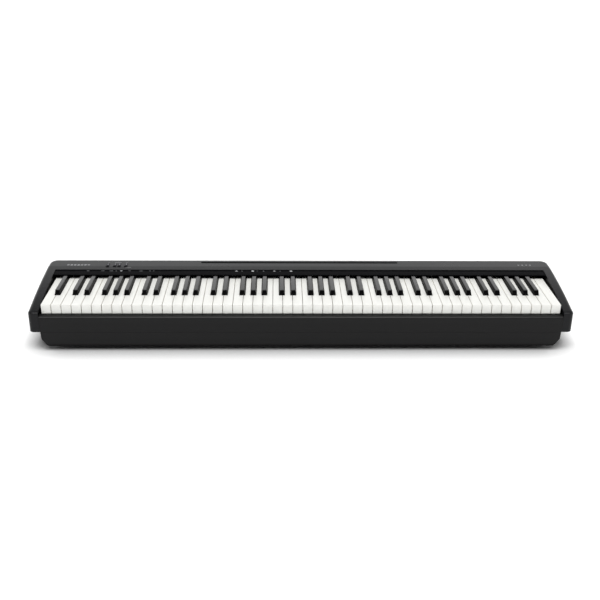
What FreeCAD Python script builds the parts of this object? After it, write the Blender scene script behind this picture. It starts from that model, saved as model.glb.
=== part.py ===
import FreeCAD, Part
import math
import os

import Sketcher

# A slab-shaped 88-key digital piano, in millimetres.
# X runs along the keyboard from bass to treble, Y from the player's side to the back, Z up.
# The origin is the middle of the footprint, on the surface that the rubber feet stand on.

DIMENSIONS = {
    # Casing
    "case_length": 1284, "case_depth": 258, "key_level": 114, "deck_rise": 17.4, "wall": 3,
    "arm_floor": 49.5, "arm_inner": 617, "arm_crown": 1530, "slope_start": 90, "arm_nose_drop": 14.5,
    "rear_corner": 20, "front_corner": 12, "edge_round": 5, "deck_front": 64.5, "deck_lip": 1.7,
    "tray_bottom": 9.5, "tray_top": 49.1, "tray_round": 10, "tray_half": 616, "tray_depth": 255, "chamfer_level": 32,
    "chamfer_inset": 16, "rail_bottom": 49.5, "rail_half": 616.6, "rail_nose": 85, "rail_crest": 91,
    # Keys
    "key_pitch": 23.55, "key_gap": 1.0, "key_front": -115, "white_reach": 163, "white_depth": 14,
    "lip_depth": 22, "lip_wall": 3, "black_width": 12.6, "side_gap": 1.0, "black_start": 56.5,
    "black_chamfer": 1.4, "lip_crown": 22, "deck_front_rise": 15.3, "boss_half": 4.5, "post_r": 5,
    "black_crest": 62, "black_height": 11.6, "black_rear_height": 9.8, "notch_gap": 1.2,
    "pair_shift": 2.0, "triple_shift": 2.95, "stem_width": 8, "stem_top": 4, "stem_bottom": 22,
    "stem_start": 150, "stem_end": 229, "pivot_reach": 210, "pivot_drop": 14, "shaft_r": 2.0,
    "running_gap": 0.06,
    # Deck furniture
    "slot_width": 8, "slot_length": 506, "slot_y": 107.5, "slot_x": -3, "slot_sink": 10,
    "button_width": 8, "button_depth": 15, "button_y": 93.5, "button_proud": 0.8, "button_gap": 0.3,
    "strip_lip": 38.5, "strip_lip_top": 126.0, "strip_wall": 1.6, "strip_back": 78,
    # Action frame and feet
    "sheet_metal": 1.2, "frame_half": 608, "frame_level": 54, "foot_r": 12, "foot_x": 376,
    "foot_front": -95, "foot_back": 95, "stand_x": 520, "stand_front": -60, "stand_back": 80,
    "stand_hole_r": 3.0, "insert_r": 5.0, "speaker_x": 250, "screw_r": 1.8, "board_wall": 1.6,
    "frame_front": -112, "stop_rib": 86, "contact_rib": 88, "rest_rib": 88.5, "bracket_wall": 1.6,
    "bracket_half": 7, "shaft_half": 614, "felt_half": 606, "stop_felt_top": 90.2,
    "rest_felt_top": 91.7, "contact_half": 600, "dome_y": 10, "dome_r": 4, "dome_rise": 5.3,
    # Sockets and boards
    "jack_level": 33, "jack_depth": 20, "jack_bore": 14, "panel_low": 371, "panel_high": 527,
    "panel_floor": 20, "panel_gap": 0.15, "board_post": 5, "board_hole_r": 1.3, "cable_wall": 0.6,
    "button_board_drop": 12.2,
}

WHITE_NOTES = "CDEFGAB"
LAST_WHITE = 51
FIRST_MIDDLE_WHITE = 16
FIRST_TREBLE_WHITE = 30
BUTTONS = {"power_button": -490, "volume_down_button": -472, "volume_up_button": -461,
           "function_button": -444}
REAR_SCREWS_X = (-560, -340, -120, 120, 340, 560)
FRONT_SCREWS_X = (-590, -300, 0, 300, 590)
MIDDLE_POSTS_X = (-590, -100, 100, 590)
REAR_SCREW_Y = 120.5
FRONT_SCREW_Y = -105
MIDDLE_POST_Y = 65
SLOT_STEPS = 4
SLOT_PITCH = 8
SLOT_REACH = 34
SLOT_TAPER = 1.3
SLOT_HALF = 2.2
# Each rib of the action frame: where it starts and ends, and its height.
RIBS = ((-92, -72, "stop_rib"), (-8, 28, "contact_rib"), (100, 115.5, "rest_rib"))
# Screws of the two boards in the tray, and of the board under the buttons.
MAIN_BOARD_SCREWS = [(-488, -14), (-488, 54), (-327, -14), (-327, 54)]
JACK_BOARD_SCREWS = [(375, 97), (525, 97)]
BUTTON_BOARD_SCREWS = [(-501.5, 98.5), (-432.5, 98.5)]
# Soldered blocks: centre, size and height.
MAIN_BOARD_BLOCKS = [(-400, 10, 24, 24, 2), (-440, 20, 14, 20, 2), (-360, 20, 16, 10, 12),
                     (-470, 45, 22, 8, 2.2)]
JACK_BOARD_BLOCKS = [(450, 96, 30, 5, 3)]
BUTTON_BOARD_BLOCKS = [(x, 93.5, 5, 5, 1.4) for x in BUTTONS.values()]
# Each socket's place, width and height, and its mouth: a radius, or a width and a height.
JACKS = {"dc_in_jack": (390, 12, 12, 2.75), "usb_computer_port": (415, 14, 13, (9.0, 8.2)),
         "usb_memory_port": (442, 16, 9, (12.6, 5.2)), "pedal_jack": (475, 15, 15, 3.25),
         "phones_jack": (505, 15, 15, 3.25)}
JACK_FIT = 0.4
CASE_SCREW_HEAD = 2
CASE_SCREW_HEAD_R = 3.4

doc = FreeCAD.newDocument("digital_piano")
sheet = doc.addObject("Spreadsheet::Sheet", "dims")
for row, (alias, size) in enumerate(DIMENSIONS.items(), start=1):
    sheet.set(f"A{row}", alias)
    sheet.set(f"B{row}", str(size))
    sheet.setAlias(f"B{row}", alias)
doc.recompute()

nodes = []


def formula(text):
    """Turn words such as wall*2 into a formula that reads the sheet."""
    parts = []
    word = ""
    for letter in str(text) + " ":
        if letter.isalnum() or letter in "_.":
            word += letter
            continue
        parts.append("dims." + word if word in DIMENSIONS else word)
        parts.append(letter)
        word = ""
    return "".join(parts).strip()


def value(text):
    """The number that a formula gives now."""
    return float(sheet.evalExpression(formula(text).replace("dims.", "")))


def keep(item, label):
    """Name an object as a finished sub-part."""
    item.Label = label
    nodes.append(item)
    return item


def new_body(name):
    return doc.addObject("PartDesign::Body", name + "_body")


def origin_part(body, role):
    """One of the body's own origin planes or axes."""
    return next(feature for feature in body.Origin.OriginFeatures if feature.Role == role)


def place(item, x=None, y=None, z=None):
    """Bind an object's position to formulas."""
    for axis, text in (("x", x), ("y", y), ("z", z)):
        if text is not None:
            item.setExpression("Placement.Base." + axis, formula(text))


def start_sketch(body, plane, offset):
    sketch = body.newObject("Sketcher::SketchObject", body.Name + "_sketch")
    sketch.AttachmentSupport = [(origin_part(body, plane), "")]
    sketch.MapMode = "FlatFace"
    if offset is not None:
        sketch.setExpression("AttachmentOffset.Base.z", formula(offset))
    return sketch


def fix_point(sketch, edge, end, x, y):
    """Tie one end of a sketch edge to formulas for its two coordinates."""
    for kind, text in (("DistanceX", x), ("DistanceY", y)):
        index = sketch.addConstraint(Sketcher.Constraint(kind, edge, end, value(text)))
        sketch.setExpression(f"Constraints[{index}]", formula(text))


def add_outline(sketch, corners, crowns=None):
    """Draw a closed outline; crowns gives the radius of an edge that bulges outwards."""
    crowns = crowns or {}
    spots = [FreeCAD.Vector(value(x), value(y), 0) for x, y in corners]
    first = sketch.GeometryCount
    count = len(spots)
    for k, start in enumerate(spots):
        end = spots[(k + 1) % count]
        if k not in crowns:
            sketch.addGeometry(Part.LineSegment(start, end), False)
            continue
        radius = value(crowns[k])
        half = (end - start).Length / 2
        rise = radius - math.sqrt(radius * radius - half * half)
        along = (end - start).normalize()
        outwards = FreeCAD.Vector(along.y, -along.x, 0)
        middle = (start + end) / 2 + outwards * rise
        sketch.addGeometry(Part.Arc(start, middle, end), False)
    ends = [tail_ends(sketch, first + k, spots[k]) for k in range(count)]
    for k in range(count):
        following = (k + 1) % count
        sketch.addConstraint(Sketcher.Constraint(
            "Coincident", first + k, ends[k][1], first + following, ends[following][0]))
    for k, (x, y) in enumerate(corners):
        fix_point(sketch, first + k, ends[k][0], x, y)
    for k, text in crowns.items():
        index = sketch.addConstraint(Sketcher.Constraint("Radius", first + k, value(text)))
        sketch.setExpression(f"Constraints[{index}]", formula(text))


def tail_ends(sketch, edge, start):
    """Which end of a sketch edge lies at start: an arc may be stored the other way round."""
    if (sketch.getPoint(edge, 1) - start).Length < (sketch.getPoint(edge, 2) - start).Length:
        return 1, 2
    return 2, 1


def add_circle(sketch, x, y, radius):
    centre = FreeCAD.Vector(value(x), value(y), 0)
    edge = sketch.addGeometry(Part.Circle(centre, FreeCAD.Vector(0, 0, 1), value(radius)), False)
    index = sketch.addConstraint(Sketcher.Constraint("Radius", edge, value(radius)))
    sketch.setExpression(f"Constraints[{index}]", formula(radius))
    fix_point(sketch, edge, 3, x, y)


def box_corners(x_low, x_high, y_low, y_high):
    return [(x_low, y_low), (x_high, y_low), (x_high, y_high), (x_low, y_high)]


def pad(body, sketch, length, middle=False, back=False):
    feature = body.newObject("PartDesign::Pad", body.Name + "_pad")
    feature.Profile = sketch
    feature.SideType = "Symmetric" if middle else "One side"
    feature.Reversed = back
    feature.setExpression("Length", formula(length))
    doc.recompute()
    return feature


def pocket(body, sketch, length=None, middle=False, back=False):
    """Cut a sketch out of the body; no length cuts right through. It has to remove material."""
    before = body.Shape.Volume
    feature = body.newObject("PartDesign::Pocket", body.Name + "_pocket")
    feature.Profile = sketch
    feature.SideType = "Symmetric" if middle else "One side"
    feature.Reversed = back
    if length is None:
        feature.Type = "ThroughAll"
    else:
        feature.setExpression("Length", formula(length))
    doc.recompute()
    if not body.Shape.Volume < before - 0.01:
        raise ValueError(body.Name + ": a pocket cuts nothing")
    return feature


def padded(body, plane, corners, length, offset=None, middle=False, back=False, crowns=None):
    sketch = start_sketch(body, plane, offset)
    add_outline(sketch, corners, crowns)
    return pad(body, sketch, length, middle, back)


def cut(body, plane, corners, length=None, offset=None, middle=False, back=False, crowns=None):
    sketch = start_sketch(body, plane, offset)
    add_outline(sketch, corners, crowns)
    return pocket(body, sketch, length, middle, back)


def circles_sketch(body, centres, radius, offset=None, plane="XY_Plane"):
    sketch = start_sketch(body, plane, offset)
    for x, y in centres:
        add_circle(sketch, x, y, radius)
    return sketch


def edges_of(body, test):
    """The body's last feature, and the names of its edges whose middle and direction pass a test."""
    base = body.Tip
    names = []
    for number, edge in enumerate(base.Shape.Edges, start=1):
        middle = edge.valueAt((edge.FirstParameter + edge.LastParameter) / 2)
        direction = edge.valueAt(edge.LastParameter) - edge.valueAt(edge.FirstParameter)
        if test(middle, direction):
            names.append(f"Edge{number}")
    if not names:
        raise ValueError(body.Name + ": no edge passes the test")
    return base, names


def round_edges(body, radius, test):
    """Fillet the edges that pass a test."""
    base = edges_of(body, test)
    feature = body.newObject("PartDesign::Fillet", body.Name + "_fillet")
    feature.Base = base
    feature.setExpression("Radius", formula(radius))
    doc.recompute()
    return feature


def chamfer_edges(body, size, test):
    """Chamfer the edges that pass a test."""
    base = edges_of(body, test)
    feature = body.newObject("PartDesign::Chamfer", body.Name + "_chamfer")
    feature.Base = base
    feature.setExpression("Size", formula(size))
    doc.recompute()
    return feature


def near(first, second):
    return abs(first - second) < 0.05


def group(name, items):
    """One sub-part made of several separate solids."""
    bundle = doc.addObject("Part::Compound", name + "_set")
    bundle.Links = items
    return keep(bundle, name)


# ---------------------------------------------------------------- casing

def upper_case():
    """The deck and the two arms beside the keys, moulded in one piece and open underneath."""
    body = new_body("upper_case")
    front = "-case_depth/2"
    back = "case_depth/2"
    top = "key_level+deck_rise"
    nose = "key_level-arm_nose_drop"
    padded(body, "YZ_Plane",
           [(front, "arm_floor"), (back, "arm_floor"), (back, top), ("slope_start", top), (front, nose)],
           "case_length", middle=True, crowns={3: "arm_crown"})
    half = value("case_length/2")
    round_edges(body, "rear_corner", lambda m, d: near(m.y, value(back)) and near(abs(m.x), half)
                and abs(d.z) > 20)
    round_edges(body, "front_corner", lambda m, d: near(m.y, value(front)) and near(abs(m.x), half)
                and abs(d.z) > 20)
    round_edges(body, "edge_round", lambda m, d: m.z > value(nose) - 1 and abs(d.z) < 45
                and (near(m.y, value(front)) or near(m.y, value(back)) or near(abs(m.x), half)
                     or (m.y > 110 and abs(m.x) > 620) or (m.y < -118 and abs(m.x) > 630)))
    inner = "arm_inner"
    # The key bay, open to the top and to the front.
    cut(body, "XY_Plane", box_corners("-" + inner, inner, front + "-1", "deck_front"), middle=True,
        length="case_length")
    # The space under the deck, over the ends of the keys.
    under = top + "-wall"
    lip = "key_level+deck_front_rise-deck_lip"
    cut(body, "YZ_Plane",
        [("deck_front-1", "arm_floor-1"), (back + "-wall", "arm_floor-1"), (back + "-wall", under),
         ("slope_start", under), ("deck_front-1", lip)],
        length=inner + "*2", middle=True)
    # The hollow of each arm, with a floor, joined to the space under the deck.
    for side in (-1, 1):
        span = "case_length/2-wall*2-arm_inner"
        offset = inner + "+wall" if side > 0 else "-case_length/2+wall"
        cut(body, "YZ_Plane",
            [(front + "+wall", "arm_floor+wall"), (back + "-wall-front_corner", "arm_floor+wall"),
             (back + "-wall-front_corner", under), ("slope_start", under), (front + "+wall", nose + "-wall-2")],
            length=span, offset=offset, back=True)
        door = inner + "-1" if side > 0 else "-arm_inner-wall-1"
        cut(body, "YZ_Plane",
            box_corners("slope_start-10", back + "-wall-front_corner-2", "arm_floor+wall+4", under + "-4"),
            length="wall+2", offset=door, back=True)
    # The slot that a music rest stands in.
    cut(body, "XY_Plane",
        box_corners("slot_x-slot_length/2", "slot_x+slot_length/2", "slot_y-slot_width/2",
                    "slot_y+slot_width/2"),
        offset=top + "-wall-1", length="wall+2", back=True)
    # Openings for the four buttons.
    for x in BUTTONS.values():
        reach = "button_width/2+button_gap"
        run = "button_depth/2+button_gap"
        cut(body, "XY_Plane",
            box_corners(f"{x}-({reach})", f"{x}+{reach}", f"button_y-({run})", f"button_y+{run}"),
            offset=top + "-wall-1", length="wall+2", back=True)
    # Bosses for the case screws down the back wall, and two posts for the button board.
    for x in REAR_SCREWS_X:
        padded(body, "XY_Plane",
               box_corners(f"{x}-boss_half", f"{x}+boss_half", f"{REAR_SCREW_Y}-4", back + "-wall+0.5"),
               offset="tray_top+0.2", length=top + "-wall-tray_top")
    sketch = circles_sketch(body, [(x, f"{REAR_SCREW_Y}") for x in REAR_SCREWS_X], "screw_r+0.05",
                            offset="tray_top")
    pocket(body, sketch, length="16", back=True)
    for x, y in BUTTON_BOARD_SCREWS:
        padded(body, "XY_Plane", box_corners(f"{x}-2.5", f"{x}+2.5", f"{y}-2.5", f"{y}+2.5"),
               offset=top + "-button_board_drop", length="button_board_drop-2.2")
    return keep(body, "upper_case")


def lower_case():
    """The tray under everything: chamfered sides, an open top, posts and a gap for the socket panel."""
    body = new_body("lower_case")
    outer = [("-tray_half", "tray_top"), ("-tray_half+0.6", "chamfer_level"),
             ("-tray_half+chamfer_inset", "tray_bottom"), ("tray_half-chamfer_inset", "tray_bottom"),
             ("tray_half-0.6", "chamfer_level"), ("tray_half", "tray_top")]
    shift = "(case_depth-tray_depth)/2"
    padded(body, "XZ_Plane", outer, "tray_depth", offset=shift, middle=True)
    front = value("-case_depth/2")
    round_edges(body, "tray_round", lambda m, d: near(m.y, front) and near(m.z, value("tray_bottom")))
    inner = [("-tray_half+wall", "tray_top+1"), ("-tray_half+wall+0.6", "chamfer_level+1.2"),
             ("-tray_half+chamfer_inset+1.4", "tray_bottom+wall"),
             ("tray_half-chamfer_inset-1.4", "tray_bottom+wall"),
             ("tray_half-wall-0.6", "chamfer_level+1.2"), ("tray_half-wall", "tray_top+1")]
    cut(body, "XZ_Plane", inner, length="tray_depth-wall*2", offset=shift, middle=True)
    # Posts: short ones for the casing's rear screws, taller ones under the action frame.
    floor = "tray_bottom+wall-0.5"
    rear = [(x, REAR_SCREW_Y) for x in REAR_SCREWS_X]
    front_posts = [(x, FRONT_SCREW_Y) for x in FRONT_SCREWS_X]
    middle_posts = [(x, MIDDLE_POST_Y) for x in MIDDLE_POSTS_X]
    pad(body, circles_sketch(body, rear, "post_r", offset=floor), "tray_top-tray_bottom-wall+0.5")
    pad(body, circles_sketch(body, front_posts + middle_posts, "post_r", offset=floor),
        "frame_level-tray_bottom-wall+0.5")
    pocket(body, circles_sketch(body, rear + front_posts, "screw_r+0.3", offset="tray_bottom-1"),
           length="60", back=True)
    # Thick rings that hold the stand inserts.
    stand = [(f"{side}*stand_x", y) for side in (-1, 1) for y in ("stand_front", "stand_back")]
    pad(body, circles_sketch(body, stand, "insert_r+4", offset=floor), "9.5")
    pocket(body, circles_sketch(body, stand, "insert_r", offset="tray_bottom-1"), length="40", back=True)
    # Low posts for the main board and the jack board.
    boards = MAIN_BOARD_SCREWS + JACK_BOARD_SCREWS
    pad(body, circles_sketch(body, boards, "3.5", offset=floor), "board_post+0.5")
    pocket(body, circles_sketch(body, boards, "1.25", offset=floor + "+0.5"), length="6", back=True)
    # Sound slots under each speaker.
    for side in (-1, 1):
        for step in range(-SLOT_STEPS, SLOT_STEPS + 1):
            reach = SLOT_REACH - SLOT_TAPER * step * step
            middle = SLOT_PITCH * step
            cut(body, "XY_Plane",
                box_corners(f"{side}*speaker_x-{reach}", f"{side}*speaker_x+{reach}",
                            f"{middle}-{SLOT_HALF}", f"{middle}+{SLOT_HALF}"),
                offset="tray_bottom-1", length="wall+2", back=True)
    # The gap in the back wall that the socket panel fills.
    cut(body, "XZ_Plane", box_corners("panel_low", "panel_high", "panel_floor", "tray_top+1"),
        offset="-(case_depth/2-wall*2-1)", length="wall*2+2")
    return keep(body, "lower_case")


def socket_panel():
    """The plate in the tray's back wall, with one opening round each socket."""
    body = new_body("socket_panel")
    padded(body, "XZ_Plane",
           box_corners("panel_low+panel_gap", "panel_high-panel_gap", "panel_floor+panel_gap", "tray_top"),
           "wall", offset="-(case_depth/2-wall)")
    for x, width, height, _ in JACKS.values():
        reach = width / 2 + JACK_FIT
        rise = height / 2 + JACK_FIT
        cut(body, "XZ_Plane",
            box_corners(f"{x}-{reach}", f"{x}+{reach}", f"jack_level-{rise}", f"jack_level+{rise}"),
            offset="-(case_depth/2-wall*2-1)", length="wall+2")
    return keep(body, "socket_panel")


def front_rail():
    """The slip in front of the keys: a tall face with a lip that curves back towards the keys."""
    body = new_body("front_rail")
    front = "-case_depth/2"
    back = "key_front-2.5"
    padded(body, "YZ_Plane",
           [(front, "rail_bottom"), (front + "+wall", "rail_bottom"), (front + "+wall", "rail_nose-2.6"),
            (back, "rail_crest-3.2"), (back, "rail_crest"), (front, "rail_nose")],
           "rail_half*2", middle=True, crowns={4: "lip_crown"})
    return keep(body, "front_rail")


def fallboard_strip():
    """The thin black strip that slopes from under the deck to just over the keys."""
    body = new_body("fallboard_strip")
    rear_top = "key_level+deck_front_rise-deck_lip-0.3"
    padded(body, "YZ_Plane",
           [("strip_lip", "strip_lip_top-strip_wall"), ("strip_back", rear_top + "-strip_wall"),
            ("strip_back", rear_top), ("deck_front", rear_top), ("strip_lip", "strip_lip_top")],
           "rail_half*2", middle=True)
    return keep(body, "fallboard_strip")


def music_rest_channel():
    """The closed trough under the slot."""
    body = new_body("music_rest_channel")
    top = "key_level+deck_rise-wall"
    half = "slot_length/2"
    padded(body, "XY_Plane",
           box_corners(f"slot_x-{half}-4", f"slot_x+{half}+4", "slot_y-slot_width/2-2.2",
                       "slot_y+slot_width/2+2.2"),
           offset=top + "-slot_sink-2", length="slot_sink+2")
    cut(body, "XY_Plane",
        box_corners(f"slot_x-{half}-1", f"slot_x+{half}+1", "slot_y-slot_width/2-0.3",
                    "slot_y+slot_width/2+0.3"),
        offset=top + "-slot_sink", length="slot_sink+1", back=True)
    return keep(body, "music_rest_channel")


# ---------------------------------------------------------------- keys

def left_edge(number):
    """Centre of a white key, counted from the lowest one."""
    return f"({number}-{LAST_WHITE / 2})*key_pitch"


def note_of(number):
    """The letter and octave of a white key: the lowest is the A below the first C."""
    step = number + 5
    return WHITE_NOTES[step % 7], step // 7


def sharp_shift(letter):
    """How far the black key to the right of this white key stands from the joint between whites."""
    return {"C": "-pair_shift", "D": "pair_shift", "F": "-triple_shift", "G": "0",
            "A": "triple_shift"}.get(letter)


def side_profile():
    """A white key's cap from the side, with the front lip reaching down."""
    start = "key_front"
    level = "key_level"
    end = "key_front+white_reach"
    return [(start, level + "-lip_depth"), (start + "+lip_wall", level + "-lip_depth"),
            (start + "+lip_wall", level + "-white_depth"), (end, level + "-white_depth"), (end, level),
            (start, level)]


def add_stem(body, offset):
    """The narrow tail that carries the key on the pivot shaft."""
    level = "key_level"
    sketch = start_sketch(body, "YZ_Plane", offset)
    add_outline(sketch, [
        ("key_front+stem_start", level + "-white_depth+0.5"),
        ("key_front+white_reach+4", level + "-stem_bottom"),
        ("key_front+stem_end", level + "-stem_bottom"), ("key_front+stem_end", level + "-stem_top"),
        ("key_front+stem_start", level + "-stem_top")])
    add_circle(sketch, "key_front+pivot_reach", level + "-pivot_drop", "shaft_r+running_gap")
    pad(body, sketch, "stem_width", middle=True)


def white_key(number):
    letter, octave = note_of(number)
    body = new_body(f"key_{letter.lower()}{octave}")
    padded(body, "YZ_Plane", side_profile(), "key_pitch-key_gap", middle=True)
    slot_half = "(black_width/2+side_gap)"
    low = "key_front+black_start-notch_gap"
    high = "key_front+white_reach+1"
    left_shift = sharp_shift(note_of(number - 1)[0]) if number > 0 else None
    right_shift = sharp_shift(letter) if number < LAST_WHITE else None
    left = "-(key_pitch-key_gap)/2"
    right = "(key_pitch-key_gap)/2"
    if left_shift is not None:
        left = f"-key_pitch/2+({left_shift})+{slot_half}"
        cut(body, "XY_Plane", box_corners("-key_pitch", left, low, high), length="key_level*2", middle=True,
            offset="key_level")
    if right_shift is not None:
        right = f"key_pitch/2+({right_shift})-{slot_half}"
        cut(body, "XY_Plane", box_corners(right, "key_pitch", low, high), length="key_level*2", middle=True,
            offset="key_level")
    add_stem(body, f"(({left})+({right}))/2")
    place(body, x=left_edge(number))
    return body


def black_key(number):
    """The black key to the right of white key number."""
    letter, octave = note_of(number)
    shift = sharp_shift(letter)
    body = new_body(f"key_{letter.lower()}s{octave}")
    level = "key_level"
    start = "key_front+black_start"
    end = "key_front+white_reach"
    padded(body, "YZ_Plane",
           [(start, level + "-white_depth"), (end, level + "-white_depth"),
            (end, level + "+black_rear_height"), ("key_front+black_crest", level + "+black_height"),
            (start, level)],
           "black_width", middle=True)
    half = value("black_width/2")
    chamfer_edges(body, "black_chamfer", lambda m, d: m.z > value("key_level+5")
                  and near(abs(m.x), half) and abs(d.y) > value("black_start/2"))
    add_stem(body, "0")
    place(body, x=f"({number}-{LAST_WHITE / 2})*key_pitch+key_pitch/2+({shift})")
    return body


def keyboard():
    """Two middle octaves as single keys; the bass and treble keys in sets of one colour."""
    sets = {"white_keys_bass": [], "white_keys_treble": [], "black_keys_bass": [],
            "black_keys_treble": []}
    for number in range(LAST_WHITE + 1):
        letter, octave = note_of(number)
        low = number < FIRST_MIDDLE_WHITE
        high = number >= FIRST_TREBLE_WHITE
        keys = [("white", f"key_{letter.lower()}{octave}", white_key(number))]
        if sharp_shift(letter) is not None and number < LAST_WHITE:
            keys.append(("black", f"key_{letter.lower()}_sharp{octave}", black_key(number)))
        for colour, name, body in keys:
            if low or high:
                sets[colour + ("_keys_bass" if low else "_keys_treble")].append(body)
            else:
                keep(body, name)
    for name, bodies in sets.items():
        group(name, bodies)


# ---------------------------------------------------------------- action frame

def keybed_frame():
    """A folded steel sheet with three raised ribs and the brackets that hold the pivot shaft."""
    body = new_body("keybed_frame")
    base = "frame_level"
    skin = "sheet_metal"
    lower = [("frame_front", base)]
    upper = [("frame_front", f"{base}+{skin}")]
    for low, high, top in RIBS[:-1]:
        lower += [(f"{low}+{skin}", base), (f"{low}+{skin}", f"{top}-{skin}"),
                  (f"{high}-{skin}", f"{top}-{skin}"), (f"{high}-{skin}", base)]
        upper += [(f"{low}", f"{base}+{skin}"), (f"{low}", top), (f"{high}", top),
                  (f"{high}", f"{base}+{skin}")]
    low, high, top = RIBS[-1]
    lower += [(f"{low}+{skin}", base), (f"{low}+{skin}", f"{top}-{skin}"), (f"{high}", f"{top}-{skin}")]
    upper += [(f"{low}", f"{base}+{skin}"), (f"{low}", top), (f"{high}", top)]
    padded(body, "YZ_Plane", lower + upper[::-1], "frame_half*2", middle=True)
    # One bracket in each gap between a B and a C.
    for number in range(2, LAST_WHITE + 1, len(WHITE_NOTES)):
        padded(body, "YZ_Plane",
               box_corners("key_front+pivot_reach-bracket_half", "key_front+pivot_reach+bracket_half",
                           base + "+0.2", "key_level-pivot_drop+6"),
               "bracket_wall", offset=f"({number}-{LAST_WHITE / 2}-0.5)*key_pitch", middle=True)
    sketch = start_sketch(body, "YZ_Plane", None)
    add_circle(sketch, "key_front+pivot_reach", "key_level-pivot_drop", "shaft_r+0.02")
    pocket(body, sketch, length="case_length", middle=True)
    holes = [(x, FRONT_SCREW_Y) for x in FRONT_SCREWS_X]
    pocket(body, circles_sketch(body, holes, "screw_r+0.05", offset="frame_level-1"), length="4", back=True)
    return keep(body, "keybed_frame")


def key_pivot_shaft():
    shaft = doc.addObject("Part::Cylinder", "key_pivot_shaft_rod")
    shaft.setExpression("Radius", formula("shaft_r"))
    shaft.setExpression("Height", formula("shaft_half*2"))
    shaft.Placement = FreeCAD.Placement(FreeCAD.Vector(), FreeCAD.Rotation(FreeCAD.Vector(0, 1, 0), 90))
    place(shaft, x="-shaft_half", y="key_front+pivot_reach", z="key_level-pivot_drop")
    return keep(shaft, "key_pivot_shaft")


def bar(name, x_low, x_high, y_low, y_high, z_low, z_high):
    """A plain rectangular strip."""
    body = new_body(name)
    padded(body, "XY_Plane", box_corners(x_low, x_high, y_low, y_high), f"({z_high})-({z_low})", offset=z_low)
    return keep(body, name)


def contact_strip():
    """The rubber strip with one switch dome under each key."""
    body = new_body("contact_domes")
    top = "contact_rib+board_wall"
    padded(body, "XY_Plane", box_corners("-contact_half", "contact_half", "dome_y-8", "dome_y+8"), "0.8",
           offset=top)
    margin = 6.8
    sketch = circles_sketch(body, [(f"-contact_half+{margin}", "dome_y")], "dome_r", offset=top + "+0.5")
    dome = pad(body, sketch, "dome_rise")
    pattern = body.newObject("PartDesign::LinearPattern", "dome_row")
    pattern.Originals = [dome]
    pattern.Direction = (origin_part(body, "X_Axis"), [""])
    pattern.Mode = "Extent"
    pattern.setExpression("Length", formula(f"contact_half*2-{2 * margin}"))
    pattern.Occurrences = 88
    body.Tip = pattern
    doc.recompute()
    return keep(body, "contact_domes")


# ---------------------------------------------------------------- electronics

def buttons():
    """Four push buttons with a flange that holds each one under the deck."""
    top = "key_level+deck_rise"
    for name, x in BUTTONS.items():
        body = new_body(name)
        padded(body, "XY_Plane",
               box_corners("-button_width/2", "button_width/2", "-button_depth/2", "button_depth/2"),
               "button_proud+wall+1.5", offset=top + "-wall-1.5")
        round_edges(body, "button_width/2-0.4", lambda m, d: abs(d.z) > 3)
        padded(body, "XY_Plane",
               box_corners("-button_width/2-1", "button_width/2+1", "-button_depth/2-1", "button_depth/2+1"),
               "1.2", offset=top + "-wall-1.5")
        pad(body, circles_sketch(body, [("0", "0")], "2", offset=top + "-wall-6.6"), "5.5")
        place(body, x=str(x), y="button_y")
        keep(body, name)


def board(name, x_low, x_high, y_low, y_high, z_low, holes, blocks):
    """A circuit board with screw holes and a few soldered blocks of the given heights."""
    body = new_body(name)
    padded(body, "XY_Plane", box_corners(x_low, x_high, y_low, y_high), "board_wall", offset=z_low)
    pocket(body, circles_sketch(body, holes, "board_hole_r", offset=z_low + "-1"), length="4", back=True)
    for x, y, width, depth, height in blocks:
        padded(body, "XY_Plane",
               box_corners(f"{x}-{width / 2}", f"{x}+{width / 2}", f"{y}-{depth / 2}", f"{y}+{depth / 2}"),
               f"{height}+0.2", offset=z_low + "+board_wall-0.2")
    return keep(body, name)


def jacks():
    """The sockets on the jack board, each open to the back."""
    face = "-(case_depth/2-wall)"
    for name, (x, width, height, mouth) in JACKS.items():
        body = new_body(name)
        padded(body, "XZ_Plane",
               box_corners(f"-{width / 2}", f"{width / 2}", f"jack_level-{height / 2}",
                           f"jack_level+{height / 2}"),
               "jack_depth", offset=face)
        # The block under the socket that stands on the board.
        seat = "tray_bottom+wall+board_post+board_wall"
        padded(body, "XY_Plane", box_corners(f"-{width / 2 - 2}", f"{width / 2 - 2}", "106", "115"),
               f"jack_level-{height / 2}+0.2-({seat})", offset=seat)
        if isinstance(mouth, float):
            sketch = circles_sketch(body, [("0", "jack_level")], f"{mouth}", offset=face + "-1",
                                    plane="XZ_Plane")
            pocket(body, sketch, length="jack_bore+1", back=True)
        else:
            wide, tall = mouth
            cut(body, "XZ_Plane",
                box_corners(f"-{wide / 2}", f"{wide / 2}", f"jack_level-{tall / 2}",
                            f"jack_level+{tall / 2}"),
                offset=face + "-1", length="jack_bore+1", back=True)
        place(body, x=str(x))
        keep(body, name)


def flat_cables():
    """Two flat cables: one folded down behind the keys, one laid along the tray."""
    down = new_body("button_cable")
    high = "key_level+2.4"
    low = "tray_bottom+11.8"
    back = 118.6
    padded(down, "YZ_Plane",
           [("94", high), (f"{back}", high), (f"{back}", low + "+cable_wall"), ("40", low + "+cable_wall"),
            ("40", low), (f"{back}+cable_wall", low), (f"{back}+cable_wall", high + "+cable_wall"),
            ("94", high + "+cable_wall")],
           "20", offset="-470", middle=True)
    along = new_body("jack_cable")
    padded(along, "XY_Plane",
           [("-432", "50"), ("-420", "50"), ("-420", "102"), ("385", "102"), ("385", "112"), ("-432", "112")],
           "cable_wall", offset="tray_bottom+wall")
    group("flat_cables", [down, along])


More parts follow.
